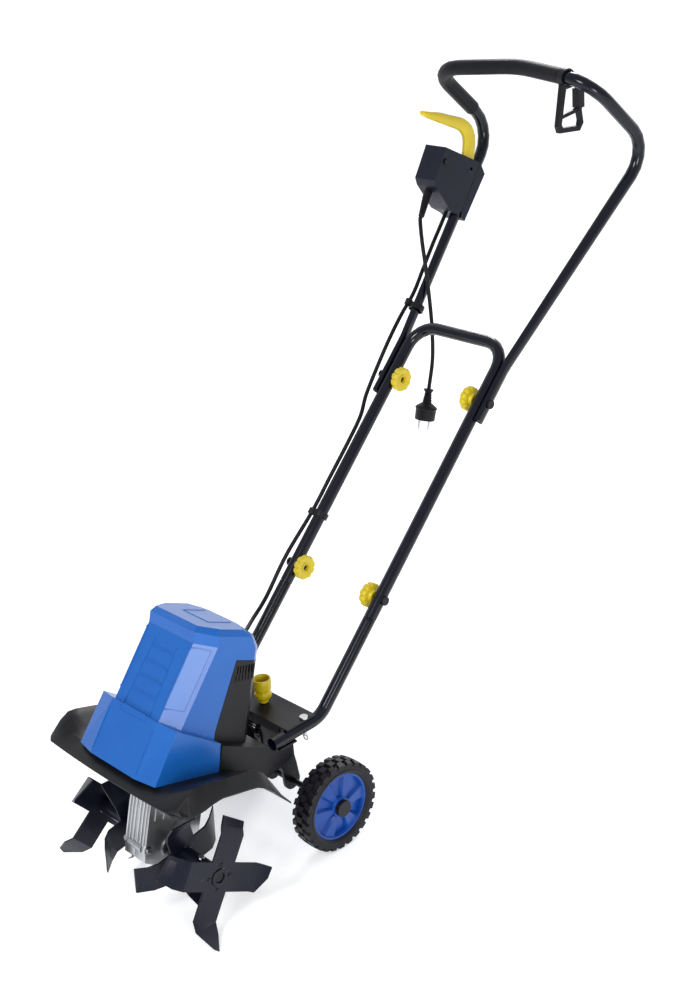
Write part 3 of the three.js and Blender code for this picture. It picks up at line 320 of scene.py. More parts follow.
@dataclass(frozen=True)
class Finish:
    """One material: its colours, gloss and surface detail."""

    name: str
    slot: str
    colour: Colour
    shade: Colour
    gloss: float
    metallic: float = 0.0
    spread: float = 0.12
    grain: float = 900.0
    relief: float = 0.00002
    tone: float = 0.5
    under: Colour = (0.5, 0.5, 0.5)
    worn: float = 0.15
    dust: float = 0.05
    coat: float = 0.0
    shine: float = 0.5

    def material(self) -> Material:
        """Build the material once, and find it again after that.

        Returns:
            The material.
        """
        if self.name in bpy.data.materials:
            return bpy.data.materials[self.name]
        made = bpy.data.materials.new(self.name)
        made.use_nodes = True
        made.diffuse_color = (*self.colour, 1)
        tree = made.node_tree
        shader = tree.nodes["Principled BSDF"]

        def place(group: NodeTree, **values: object) -> Node:
            """Add a group node with its values."""
            node = tree.nodes.new("ShaderNodeGroup")
            node.node_tree = group
            for label, value in values.items():
                node.inputs[label].default_value = (*value, 1) if isinstance(value, tuple) else value
            return node

        grain = place(Effect.grain(), Colour=self.colour, Shade=self.shade, Scale=self.grain, Tone=self.tone,
                      Gloss=self.gloss, Spread=self.spread)
        wear = place(Effect.wear(), Under=self.under, Amount=self.worn)
        dust = place(Effect.dust(), Amount=self.dust)
        tree.links.new(grain.outputs["Color"], wear.inputs["Colour"])
        tree.links.new(wear.outputs["Color"], dust.inputs["Colour"])
        tree.links.new(grain.outputs["Roughness"], dust.inputs["Gloss"])
        tree.links.new(dust.outputs["Color"], shader.inputs["Base Color"])
        tree.links.new(dust.outputs["Roughness"], shader.inputs["Roughness"])
        bump = tree.nodes.new("ShaderNodeBump")
        bump.inputs["Distance"].default_value = self.relief
        tree.links.new(grain.outputs["Height"], bump.inputs["Height"])
        tree.links.new(bump.outputs["Normal"], shader.inputs["Normal"])
        shader.inputs["Metallic"].default_value = self.metallic
        shader.inputs["Specular IOR Level"].default_value = self.shine
        shader.inputs["Coat Weight"].default_value = self.coat
        shader.inputs["Coat Roughness"].default_value = 0.06
        return made


BLUE = Finish(
    "moulded_blue_shell", "blue_plastic", (0.007, 0.108, 0.42), (0.006, 0.096, 0.39), 0.3, grain=1500,
    spread=0.05, relief=0.000002, under=(0.1, 0.3, 0.7), worn=0.06, dust=0.0, coat=0.1, shine=0.35
)
WHEEL_BLUE = Finish(
    "moulded_blue_wheel", "blue_plastic", (0.003, 0.055, 0.30), (0.002, 0.045, 0.26), 0.33, grain=1500,
    relief=0.000004, under=(0.1, 0.3, 0.7), worn=0.12, dust=0.01, coat=0.05, shine=0.3
)
SHELL = Finish(
    "grained_black_shell", "black_plastic", (0.005, 0.005, 0.007), (0.007, 0.007, 0.009), 0.4, grain=1900,
    spread=0.06, relief=0.000008, under=(0.05, 0.05, 0.06), worn=0.25, dust=0.005, shine=0.25
)
SWITCH = Finish(
    "switch_case_black", "black_plastic", (0.006, 0.008, 0.018), (0.008, 0.010, 0.021), 0.42, grain=1800,
    spread=0.06, relief=0.00001, under=(0.05, 0.05, 0.07), worn=0.15, dust=0.005, shine=0.2
)
TUBE = Finish(
    "lacquered_tube", "tube_paint", (0.002, 0.0025, 0.008), (0.003, 0.0035, 0.010), 0.17, 0.0, grain=1200,
    spread=0.04, relief=0.000001, under=(0.12, 0.12, 0.14), worn=0.12, dust=0.002, coat=0.2, shine=0.25
)
TINE = Finish(
    "tine_lacquer", "tine_paint", (0.004, 0.005, 0.014), (0.006, 0.007, 0.018), 0.34, 0.1, grain=1000,
    spread=0.06, relief=0.000006, under=(0.22, 0.22, 0.25), worn=0.35, dust=0.005, coat=0.03, shine=0.25
)
BRACKET = Finish(
    "bracket_lacquer", "frame_paint", (0.004, 0.004, 0.007), (0.006, 0.006, 0.009), 0.36, 0.1, grain=1300,
    spread=0.06, relief=0.000008, under=(0.2, 0.2, 0.22), worn=0.25, dust=0.006, coat=0.03, shine=0.25
)
CAST = Finish(
    "die_cast_aluminium", "cast_aluminium", (0.52, 0.53, 0.54), (0.36, 0.37, 0.39), 0.32, 0.9, grain=700,
    relief=0.00004, under=(0.75, 0.76, 0.77), worn=0.3, dust=0.03
)
STEEL = Finish(
    "zinc_plated_steel", "steel", (0.60, 0.61, 0.63), (0.48, 0.49, 0.51), 0.26, 1.0, grain=1500,
    relief=0.00002, under=(0.35, 0.34, 0.32), worn=0.3, dust=0.02
)
YELLOW = Finish(
    "moulded_yellow", "yellow_plastic", (0.60, 0.46, 0.003), (0.52, 0.39, 0.002), 0.38, grain=1600,
    spread=0.06, relief=0.000008, under=(0.9, 0.8, 0.3), worn=0.2, dust=0.04, coat=0.1
)
SLEEVE = Finish(
    "foam_sleeve", "rubber", (0.004, 0.0042, 0.007), (0.006, 0.006, 0.009), 0.5, grain=2600, relief=0.00003,
    under=(0.05, 0.05, 0.055), worn=0.2, dust=0.004, shine=0.2
)
CABLE = Finish(
    "cable_jacket", "rubber", (0.004, 0.004, 0.006), (0.006, 0.006, 0.008), 0.45, grain=1500,
    relief=0.000008, under=(0.05, 0.05, 0.055), worn=0.15, dust=0.004, shine=0.2
)
TREAD = Finish(
    "tyre_compound", "tyre", (0.004, 0.004, 0.007), (0.006, 0.006, 0.009), 0.48, grain=1400, relief=0.00002,
    under=(0.05, 0.05, 0.05), worn=0.4, dust=0.008, shine=0.25
)
COPPER = Finish(
    "enamelled_winding", "copper_winding", (0.42, 0.14, 0.05), (0.32, 0.10, 0.04), 0.35, 0.9, grain=2400,
    relief=0.0001
)
BRONZE = Finish(
    "bronze_wheel", "bronze", (0.40, 0.24, 0.07), (0.32, 0.18, 0.05), 0.35, 0.9, grain=1500
)


# ---------- mesh making ----------


def between(first: tuple[float, ...], last: tuple[float, ...], steps: int) -> list[Vector]:
    """List evenly spaced points of the motor unit, from one place to another.

    Args:
        first: First place, in the unit's millimetres.
        last: Last place.
        steps: Stretches between them.

    Returns:
        The points in metres, one more than the stretches.
    """
    return [in_unit(*(a + (b - a) * k / steps for a, b in zip(first, last))) for k in range(steps + 1)]


class Mesher:
    """Gathers surfaces into one mesh and turns it into a dressed piece."""

    def __init__(self) -> None:
        """Start with nothing."""
        self.bm = bmesh.new()

    def ring_surface(self, rings: list[list[Vector]], closed: bool = False, caps: bool = True) -> "Mesher":
        """Skin a row of rings that have the same number of points.

        Args:
            rings: Rings in order; points run round each.
            closed: Whether the last ring joins the first.
            caps: Whether the two ends are closed with a face.

        Returns:
            This mesher.
        """
        made = [[self.bm.verts.new(point) for point in ring] for ring in rings]
        pairs = list(zip(made, made[1:])) + ([(made[-1], made[0])] if closed else [])
        for first, second in pairs:
            for i, corner in enumerate(first):
                after = (i + 1) % len(first)
                self.bm.faces.new((corner, first[after], second[after], second[i]))
        if caps and not closed:
            self.bm.faces.new(reversed(made[0]))
            self.bm.faces.new(made[-1])
        return self

    def lathe(self, centre: Vector, axis: Vector, profile: Outline, sides: int = 48) -> "Mesher":
        """Turn a closed outline round an axis.

        Args:
            centre: Point on the axis, in metres.
            axis: Direction of the axis.
            profile: Radius and height of each point, in millimetres, round a closed outline.
            sides: Faces round the axis.

        Returns:
            This mesher.
        """
        turn = facing(axis)
        return self.ring_surface([[turned(centre, turn, r, t, h) for r, h in profile] for t in angles(sides)],
                                 closed=True)

    def disc(self, centre: Vector, axis: Vector, profile: Outline, sides: int = 32) -> "Mesher":
        """Turn an open outline and close its two ends.

        Args:
            centre: Point on the axis, in metres.
            axis: Direction of the axis.
            profile: Radius and height of each point, in millimetres, from the foot up.
            sides: Faces round the axis.

        Returns:
            This mesher.
        """
        turn = facing(axis)
        return self.ring_surface([[turned(centre, turn, r, t, h) for t in angles(sides)] for r, h in profile])

    def tube(self, path: list[Vector], radius: float, sides: int = 24) -> "Mesher":
        """Sweep a round section along a path, without twist.

        Args:
            path: Points of the centreline, in metres.
            radius: Radius in millimetres.
            sides: Faces round the tube.

        Returns:
            This mesher.
        """
        rings = []
        across = None
        for i, point in enumerate(path):
            along = (path[min(i + 1, len(path) - 1)] - path[max(i - 1, 0)]).normalized()
            across = along.orthogonal() if across is None else across - along * across.dot(along)
            across.normalize()
            other = along.cross(across)
            rings.append([point + (across * math.cos(t) + other * math.sin(t)) * radius * MM
                          for t in angles(sides)])
        return self.ring_surface(rings)

    def piece(self, name: str, body: str | None, finish: Finish, bevel: float = 0.0,
              crease: float = SMOOTH_ANGLE) -> Object:
        """Finish the mesh as a piece that rides on a body.

        Args:
            name: Name of the piece.
            body: Body it moves with, or None to leave it unattached, for a piece that spans two bodies.
            finish: Its material.
            bevel: Width of the softened edges, in millimetres.
            crease: Edges sharper than this angle are rounded, and stay crisp.

        Returns:
            The new object.
        """
        bmesh.ops.recalc_face_normals(self.bm, faces=self.bm.faces)
        mesh = bpy.data.meshes.new(name)
        self.bm.to_mesh(mesh)
        self.bm.free()
        made = bpy.data.objects.new(name, mesh)
        bpy.context.collection.objects.link(made)
        mesh.materials.append(finish.material())
        soften(made, bevel, crease)
        if body:
            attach(made, body)
        log.info("piece %s on %s", name, body or "two bodies")
        return made


def smooth_line(knots: list[Vector], steps: int) -> list[Vector]:
    """Draw one smooth curve through points.

    Args:
        knots: Points that it passes through.
        steps: Points on each stretch between two of them.

    Returns:
        The points of the curve.
    """
    padded = [2 * knots[0] - knots[1], *knots, 2 * knots[-1] - knots[-2]]
    points = []
    for a, b, c, d in zip(padded, padded[1:], padded[2:], padded[3:]):
        for i in range(steps):
            t = i / steps
            points.append(0.5 * (2 * b + (c - a) * t + (2 * a - 5 * b + 4 * c - d) * t * t
                                 + (3 * b - a - 3 * c + d) * t ** 3))
    return [*points, knots[-1]]


def soften(piece: Object, bevel: float, crease: float) -> None:
    """Shade a piece smooth up to an angle and round its sharp edges.

    Args:
        piece: The object.
        bevel: Width of the softened edges in millimetres, or 0 for none.
        crease: Edges sharper than this angle count as edges.
    """
    mesh = piece.data
    mesh.shade_smooth()
    mesh.set_sharp_from_angle(angle=crease)
    if bevel:
        edge = piece.modifiers.new("edge", "BEVEL")
        edge.width = bevel * MM
        edge.segments = 3
        edge.limit_method = "ANGLE"
        edge.angle_limit = crease
        edge.harden_normals = True


def refine(node: str, finish: Finish, bevel: float, crease: float = SMOOTH_ANGLE) -> Object:
    """Stand a clean copy of a CAD node, with soft edges, in the node's place.

    Args:
        node: Name of the CAD node.
        finish: Its material.
        bevel: Width of the softened edges, in millimetres.
        crease: Edges sharper than this angle are rounded, and stay crisp.

    Returns:
        The new object.
    """
    maker = Mesher()
    maker.bm.from_mesh(bpy.data.objects[node].data)
    bm = maker.bm
    bmesh.ops.remove_doubles(bm, verts=bm.verts, dist=WELD)
    bmesh.ops.dissolve_limit(bm, angle_limit=FLAT_ANGLE, verts=bm.verts, edges=bm.edges)
    made = maker.piece(f"{node}_skin", body_with(node), finish, bevel, crease)
    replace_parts(made, node)
    return made


def dress(finish: Finish, *nodes: str) -> None:
    """Give CAD nodes that keep their shape a finish."""
    for node in nodes:
        mesh = bpy.data.objects[node].data
        mesh.materials.clear()
        mesh.materials.append(finish.material())


class Skin:
    """The surface of a CAD node, for placing details on it."""

    def __init__(self, node: str) -> None:
        """Read the node's mesh."""
        made = bmesh.new()
        made.from_mesh(bpy.data.objects[node].data)
        self.tree = BVHTree.FromBMesh(made)
        made.free()

    def hit(self, origin: Vector, direction: Vector) -> tuple[Vector, Vector] | None:
        """Find where a line meets the surface.

        Args:
            origin: Start of the line.
            direction: Its direction.

        Returns:
            The point and the surface's normal there, or None.
        """
        point, normal, _, _ = self.tree.ray_cast(origin, direction)
        return None if point is None else (point, normal)

    def strip(self, maker: Mesher, starts: list[Vector], direction: Vector, width: float, proud: float,
              sunk: float = 0.6) -> None:
        """Lay a low rib on the surface, under a row of points.

        Args:
            maker: Mesher that takes the rib.
            starts: Points that the lines start from.
            direction: Direction of the lines.
            width: Width of the rib, in millimetres.
            proud: How far it stands off the surface, in millimetres.
            sunk: How far its foot goes in, in millimetres.
        """
        hits = [found for found in (self.hit(start, direction) for start in starts) if found]
        if len(hits) < 2:
            return
        rings = []
        for i, (point, normal) in enumerate(hits):
            along = (hits[min(i + 1, len(hits) - 1)][0] - hits[max(i - 1, 0)][0]).normalized()
            across = along.cross(normal).normalized() * width * MM / 2
            top, foot = point + normal * proud * MM, point - normal * sunk * MM
            rings.append([foot - across, top - across * 0.7, top + across * 0.7, foot + across])
        maker.ring_surface(rings)


# ---------- the sub-assemblies ----------


@dataclass
class Studio:
    """Camera, floor and lights."""

    spot: Place = (1087.0, 1680.9, 1543.8)
    gaze: Place = (-0.606, -0.6766, -0.4185)
    roll: float = math.radians(4.82)
    lens: float = 56.77
    room_glow: float = 0.55
    floor_glow: float = 0.4
    wall_glow: float = 0.7
    floor_half: float = 60.0
    floor_drop: float = 0.0008
    wall_away: float = 7.0
    wall_half: float = 16.0
    wall_height: float = 14.0
    lamps_aim: Place = (0, 0, 0.45)
    lamps: tuple[tuple[str, Place, float, float], ...] = (
        ("key_lamp", (2.9, 0.6, 2.6), 1.1, 60.0),
        ("fill_lamp", (1.15, 2.4, 0.95), 0.7, 22.0),
        ("rim_lamp", (-2.4, -1.6, 2.4), 1.0, 40.0),
    )

    def build(self) -> None:
        """Place the camera, the floor, the world and the lamps."""
        ahead = Vector(self.gaze).normalized()
        level = ahead.cross(Vector((0, 0, 1))).normalized()
        over = level.cross(ahead)
        right = level * math.cos(self.roll) - over * math.sin(self.roll)
        up = level * math.sin(self.roll) + over * math.cos(self.roll)
        data = bpy.data.cameras.new("camera")
        data.lens = self.lens
        camera = bpy.data.objects.new("camera", data)
        camera.matrix_world = Matrix((right, up, -ahead)).transposed().to_4x4()
        camera.location = at(*self.spot)
        bpy.context.collection.objects.link(camera)
        bpy.context.scene.camera = camera
        self.light()

    def light(self) -> None:
        """Make the soft surroundings, the pale floor and wall, and three area lamps."""
        scene = bpy.context.scene
        scene.view_settings.view_transform = "Standard"
        world = bpy.data.worlds.new("pale_room")
        world.use_nodes = True
        world.node_tree.nodes["Background"].inputs["Color"].default_value = (0.95, 0.97, 1.0, 1)
        world.node_tree.nodes["Background"].inputs["Strength"].default_value = self.room_glow
        scene.world = world
        half = self.floor_half
        corners = [(-half, -half, 0), (half, -half, 0), (half, half, 0), (-half, half, 0)]
        floor = self.sheet("floor", corners, 0.88, (0.97, 0.98, 1.0, 1), self.floor_glow)
        floor.location.z = -self.floor_drop
        floor.data.materials[0].node_tree.nodes["Principled BSDF"].inputs["Roughness"].default_value = 0.9
        self.backdrop()
        for name, place, size, power in self.lamps:
            lamp = bpy.data.lights.new(name, "AREA")
            lamp.size = size
            lamp.energy = power
            holder = bpy.data.objects.new(name, lamp)
            holder.location = place
            holder.rotation_mode = "QUATERNION"
            holder.rotation_quaternion = (Vector(self.lamps_aim) - Vector(place)).to_track_quat("-Z", "Y")
            bpy.context.collection.objects.link(holder)

    def backdrop(self) -> None:
        """Stand a pale wall behind the machine, as the camera sees it."""
        ahead = Vector((self.gaze[0], self.gaze[1], 0)).normalized()
        aside = ahead.cross(Vector((0, 0, 1))) * self.wall_half
        foot, rise = ahead * self.wall_away, Vector((0, 0, self.wall_height))
        corners = [foot - aside, foot + aside, foot + aside + rise, foot - aside + rise]
        self.sheet("backdrop", [corner[:] for corner in corners], 0.5, (0.96, 0.97, 1.0, 1), self.wall_glow)

    def sheet(self, name: str, corners: list[Place], tone: float, glow: tuple[float, ...],
              strength: float) -> Object:
        """Stage one glowing four-sided sheet.

        Args:
            name: Name of the sheet.
            corners: Its corners, in metres.
            tone: How light its paint is.
            glow: Colour that it gives off.
            strength: How strongly it glows.

        Returns:
            The new object.
        """
        mesh = bpy.data.meshes.new(name)
        mesh.from_pydata(corners, [], [(0, 1, 2, 3)])
        made = bpy.data.objects.new(name, mesh)
        bpy.context.collection.objects.link(made)
        paint = bpy.data.materials.new(f"{name}_paint")
        paint.use_nodes = True
        shader = paint.node_tree.nodes["Principled BSDF"]
        shader.inputs["Base Color"].default_value = (tone, tone, tone, 1)
        shader.inputs["Emission Color"].default_value = glow
        shader.inputs["Emission Strength"].default_value = strength
        mesh.materials.append(paint)
        return made


@dataclass
class SupplyLead:
    """The free cord with its strain relief and plug."""

    radius: float = 3.4
    boot_from: Place = (-829, -160, 886.5)
    boot_to: Place = (-796, -150, 846)
    boot_reach: float = 49.0
    plug_top: Place = (-750, -108, 562)
    plug_fall: Place = (0.27, 0, -0.963)
    plug_grooves: int = 7
    groove_pitch: float = 2.7
    pin_half: float = 9.5
    boot_rings: int = 9
    ring_pitch: float = 4.3
    gap: float = 0.3

    def on_boot(self, distance: float) -> Vector:
        """Give the point at a distance, in millimetres, down the boot's axis."""
        line = (Vector(self.boot_to) - Vector(self.boot_from)).normalized()
        return at(*(Vector(self.boot_from) + line * distance))

    def on_plug(self, distance: float) -> Vector:
        """Give the point at a distance, in millimetres, down the plug's axis."""
        return at(*(Vector(self.plug_top) + Vector(self.plug_fall).normalized() * distance))

    def route(self) -> list[Vector]:
        """Give the cord's centreline from the boot to the plug."""
        knots = [self.on_boot(self.boot_reach + 2 * self.gap), self.on_boot(56), at(-779, -133, 814),
                 at(-771, -120, 772), at(-767, -111, 715), at(-766, -108, 665), at(-763, -108, 612),
                 self.on_plug(-self.gap)]
        return smooth_line(knots, 6)

    def build(self) -> None:
        """Make the cord, the ribbed boot and the plug."""
        path = self.route()
        lead = Mesher().tube(path, self.radius, 20).piece("supply_lead", "upper_handle", CABLE)
        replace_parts(lead, "supply_cord")
        plug = self.make_plug()
        self.make_boot()

    def make_plug(self) -> list[Object]:
        """Turn the plug's body, with its finger grooves and two pins.

        Returns:
            The body and the pins.
        """
        fall = Vector(self.plug_fall).normalized()
        maker = Mesher()
        grip = [(5.4, 0), (8.2, 0.4), (8.5, 1.2), (8.5, 3.2), (7.9, 4), (6.3, 4.6)]
        for i in range(self.plug_grooves):
            base, foot = 6.4 + 0.33 * i, self.groove_pitch * i
            grip += [(base, 6 + foot), (base - 0.7, 6.8 + foot), (base - 0.7, 7.9 + foot),
                     (base + 0.2, 8.4 + foot)]
        grip += [(9.6, 25.4), (12.5, 27.4), (17.6, 31), (19.3, 33), (19.4, 34.4), (18.3, 35.4), (18, 37),
                 (17.6, 53.6), (17, 54.8), (15.8, 55)]
        maker.disc(self.on_plug(0), fall, grip, 40)
        body = maker.piece("plug_body", "upper_handle", CABLE)
        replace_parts(body, "plug")
        across = Vector((0.35, 0.94, 0)).cross(fall).normalized()
        pins = Mesher()
        for side in (-1, 1):
            foot = self.on_plug(54.5) + across * side * self.pin_half * MM
            pins.disc(foot, fall, [(2.4, 0), (2.4, 17), (2.2, 17.8), (1.5, 18.4), (0.6, 18.6)], 20)
        prongs = pins.piece("plug_pins", "upper_handle", STEEL)
        return [body, prongs]

    def make_boot(self) -> None:
        """Turn the tapered strain relief with its rings."""
        start = self.on_boot(3.4)
        line = (self.on_boot(40) - start).normalized()
        rings = [(5.2, -12), (5.2, -0.4), (7.2, 0), (7.4, 1), (7.4, 5)]
        for i in range(self.boot_rings):
            wide = 7.1 - 0.24 * i
            foot = 6 + self.ring_pitch * i
            rings += [(wide - 1, foot), (wide - 1, foot + 1.3), (wide, foot + 1.6), (wide, foot + 4.1)]
        rings += [(4.9, 45), (4.6, 45.6)]
        boot = Mesher().disc(start, line, rings, 28).piece("strain_relief", "upper_handle", CABLE)
        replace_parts(boot, "cable_boot")


@dataclass
class MotorPod:
    """Cover, rear housing, fender and gearbox, all leaning with the motor."""

    face_half: float = 52.0
    slats: int = 5
    vent_slats: int = 7
    before: float = 200.0
    beside: float = 200.0
    above: float = 500.0
    bolt_hole: float = 4.5

    def build(self) -> None:
        """Make the shells and their details."""
        refine("motor_cover", BLUE, 3.0, math.radians(9))
        refine("fender", SHELL, 0.8)
        refine("rear_housing", SHELL, 1.2)
        refine("cable_gland", CABLE, 0.3)
        for side in Side:
            refine(f"gearbox_{side.word}", CAST, 0.9)
        self.louvres()
        self.vents()
        self.ribs()
        self.case_bolts()

    def louvres(self) -> None:
        """Lay the trapezoid frame and the slats on the cover's front."""
        skin = Skin("motor_cover")
        back = (in_unit(-100, 0, 0) - in_unit(0, 0, 0)).normalized()
        down = (in_unit(0, 0, 0) - in_unit(0, 0, 100)).normalized()
        maker = Mesher()

        def run(first: tuple[float, float], last: tuple[float, float], wide: float, proud: float,
                steps: int = 12) -> None:
            """Lay one rib between two places on the front, given across and up."""
            starts = between((self.before, *first), (self.before, *last), steps)
            skin.strip(maker, starts, back, wide, proud)

        for i in range(self.slats):
            height = 228 + 21 * i
            half = 27 - 0.8 * i
            run((-half, height), (half, height), 2.0, 0.9)
            run((-half + 1, height - 3.0), (half - 1, height - 3.0), 3.0, 0.45)
        run((-31, 216), (-25, 322), 1.4, 0.6)
        run((31, 216), (25, 322), 1.4, 0.6)
        run((-31, 216), (31, 216), 1.4, 0.6)
        near, far = self.face_half - 1.5, self.face_half + 16.5
        for side in (-1, 1):
            for y, low, high in ((near, 243, 331), (far, 239, 327)):
                run((side * y, low), (side * y, high), 2.6, 1.3)
            for low, high in ((243, 239), (331, 327)):
                run((side * near, low), (side * far, high), 2.6, 1.3)
            seam = side * (self.face_half + 0.6)
            run((seam, 150), (seam, 212), 2.2, 1.0, 8)
        for first, last in (((-18, -30), (-18, 30)), ((-18, -30), (-62, -30)), ((-18, 30), (-62, 30))):
            skin.strip(maker, between((*first, self.above), (*last, self.above), 10), down, 1.6, 0.7)
        maker.piece("cover_louvres", "chassis", BLUE)

    def vents(self) -> None:
        """Lay the upright cooling slats on both sides of the rear housing."""
        skin = Skin("rear_housing")
        for side in Side:
            maker = Mesher()
            for i in range(self.vent_slats):
                x, y = -86 + 6.2 * i, side.value * self.beside
                starts = between((x, y, 296), (x, y, 273.6), 7)
                skin.strip(maker, starts, Vector((0, -side.value, 0)), 2.6, 1.1)
            maker.piece(f"vent_slats_{side.word}", "chassis", SHELL)

    def ribs(self) -> None:
        """Run the cast ribs down the gearbox."""
        back = (in_unit(-100, 0, 0) - in_unit(0, 0, 0)).normalized()
        for side in Side:
            skin = Skin(f"gearbox_{side.word}")
            maker = Mesher()
            for y in (5.0, 13.0, 20.0):
                across = side.value * y
                skin.strip(maker, between((150, across, 126), (150, across, 9), 9), back, 2.8, 2.2)
            for x in (36.0, 20.0, 2.0):
                starts = between((x, side.value * 100, 126), (x, side.value * 100, 49), 7)
                skin.strip(maker, starts, Vector((0, -side.value, 0)), 2.8, 1.8)
            maker.piece(f"gearbox_ribs_{side.word}", "chassis", CAST)

    def case_bolts(self) -> None:
        """Set the hexagon bolts that clamp the gearbox halves."""
        maker = Mesher()
        skins = {side: Skin(f"gearbox_{side.word}") for side in Side}
        for x, z in ((45, 84), (44, 3), (4, -34), (-50, -8)):
            for side in Side:
                out = Vector((0, side.value, 0))
                found = skins[side].hit(in_unit(x - self.bolt_hole, side.value * 100, z), -out)
                if found:
                    spot = in_unit(x, 0, z)
                    spot.y = found[0].y
                    maker.disc(spot, out, [(6.4, -0.5), (6.4, 0.6), (5.4, 0.7)], 24)
                    maker.disc(spot, out, [(4.4, 0.3), (4.4, 3.6), (3.6, 4.2)], 6)
        maker.piece("gearbox_bolts", "chassis", STEEL)


@dataclass
class Tines:
    """The bladed rotors with hubs, pins and rivets."""

    rivet_ring: float = 20.0

    def build(self) -> None:
        """Dress the stars and add the rivets on the outer hub plates."""
        for side in Side:
            for row in ("outer", "inner"):
                refine(f"tine_{row}_{side.word}", TINE, 0.7)
            refine(f"tine_hub_{side.word}", TINE, 0.6)
            refine(f"hub_pin_{side.word}", STEEL, 0.3)
        refine("tine_shaft", BRACKET, 0.4)
        centre = Vector(JOINTS["tine_spin"]["pos_m"])
        for side in Side:
            skin = Skin(f"tine_outer_{side.word}")
            maker = Mesher()
            for i in range(4):
                turn = math.radians(20 + 90 * i)
                reach = self.rivet_ring * MM
                start = centre + Vector((reach * math.cos(turn), side.value * 0.4, reach * math.sin(turn)))
                found = skin.hit(start, Vector((0, -side.value, 0)))
                if found:
                    dome = [(3, -0.4), (3, 0.5), (2.4, 1.3), (1.2, 1.8)]
                    maker.disc(found[0], Vector((0, side.value, 0)), dome, 16)
            maker.piece(f"tine_rivets_{side.word}", "tine_rotor", BRACKET)


@dataclass
class Chassis:
    """Rear frame, cross plate, tubes and the bolted joints."""

    lobes: int = 10
    lobe_dip: float = 2.5
    knob_steps: int = 120
    coils: int = 5
    coil_steps: int = 20
    coil_radius: float = 0.0056
    wire: float = 0.75

    def build(self) -> None:
        """Dress the frame and its fasteners."""
        for node, finish, bevel in (
            ("rear_frame", BRACKET, 0.6), ("cross_plate", BRACKET, 0.6), ("wheel_arm", BRACKET, 0.8),
            ("arm_pivot", STEEL, 0.5), ("wheel_axle", SHELL, 1.0),
        ):
            refine(node, finish, bevel)
        self.pull_cup()
        for side in Side:
            refine(f"clevis_pin_{side.word}", STEEL, 0.4)
            refine(f"lower_tube_{side.word}", TUBE, 0.0)
            for row in ("lower", "upper"):
                refine(f"{row}_bolt_{side.word}", BRACKET, 0.5)
        refine("middle_tube", TUBE, 0.0)
        refine("upper_handle", TUBE, 0.0)
        refine("grip_sleeve", SLEEVE, 0.0)
        self.star_knobs()
        self.catch_spring()

    def star_knobs(self) -> None:
        """Mould the lobed knobs, each with its sunk nut."""
        for side in Side:
            for row in ("lower", "upper"):
                node = f"star_knob_{row}_{side.word}"
                low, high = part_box(node)
                middle = (low + high) / 2
                middle.y = high.y if side is Side.LEFT else low.y
                into = Vector((0, -side.value, 0))
                self.knob(node, middle, into, (high.y - low.y) / MM, (high.x - low.x) / 2 / MM)

    def pull_cup(self) -> None:
        """Turn the catch's cup knob with its collar, neck and rod."""
        low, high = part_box("pull_knob")
        middle = (low + high) / 2
        foot = Vector((middle.x, middle.y, low.z))
        tall = (high.z - low.z) / MM
        up = Vector((0, 0, 1))
        rod = [(4, 0), (4, tall - 42), (0.6, tall - 41.9)]
        cup = [(radius, tall - below) for radius, below in (
            (0.6, 41.6), (7.6, 41.5), (7.6, 36), (11.5, 34.4), (13.6, 31), (13.9, 26), (11.8, 23.4),
            (11.8, 20), (14.2, 17.6), (14.5, 8), (14.5, 1.4), (13.9, 0), (12.2, 0), (11.5, 1), (11.2, 22), (0.6, 23))]
        Mesher().disc(foot, up, rod, 24).piece("catch_rod", "pull_knob", STEEL)
        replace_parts(Mesher().disc(foot, up, cup, 40).piece("catch_cup", "pull_knob", YELLOW), "pull_knob")

    def knob(self, node: str, foot: Vector, out: Vector, height: float, reach: float) -> None:
        """Mould one knob: ten round lobes on a stepped collar, dished on its face.

        Args:
            node: CAD node that it stands for.
            foot: Middle of the collar's foot, in metres.
            out: Direction from the foot to the face.
            height: From the foot to the face, in millimetres.
            reach: Radius over the lobes, in millimetres.
        """
        turn = facing(out)
        profile = [(4.4, 0.1, 0), (8.6, 0.1, 0), (9.2, 0.8, 0), (10.4, 4.6, 0), (reach - 3.6, 5.2, 0.6),
                   (reach - 0.8, 6.6, 1), (reach, 8.2, 1), (reach, height - 3.2, 1),
                   (reach - 0.7, height - 1.4, 1), (reach - 2.2, height - 0.3, 0.8),
                   (reach - 5, height - 0.4, 0.3), (10.2, height - 1.9, 0), (8.4, height - 2.2, 0),
                   (7.9, height - 0.6, 0), (6.2, height - 0.6, 0), (5.7, height - 3.6, 0),
                   (4.4, height - 3.6, 0)]
        rings = []
        for t in angles(self.knob_steps):
            dip = self.lobe_dip * (1 - abs(math.cos(self.lobes * t / 2))) ** 2
            rings.append([turned(foot, turn, r - dip * share, t, h) for r, h, share in profile])
        made = Mesher().ring_surface(rings, closed=True).piece(f"{node}_moulded", body_with(node), YELLOW)
        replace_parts(made, node)

    def catch_spring(self) -> None:
        """Wind the catch's spring."""
        low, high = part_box("lock_spring")
        middle = (low + high) / 2
        inset = 0.0008
        height = high.z - low.z - 2 * inset
        path = []
        for i in range(self.coils * self.coil_steps + 1):
            t = 2 * math.pi * i / self.coil_steps
            rise = low.z + inset + height * i / (self.coils * self.coil_steps)
            path.append(Vector((middle.x, middle.y, rise))
                        + Vector((math.cos(t), math.sin(t), 0)) * self.coil_radius)
        spring = Mesher().tube(path, self.wire, 8).piece("catch_spring", "chassis", STEEL)
        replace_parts(spring, "lock_spring")


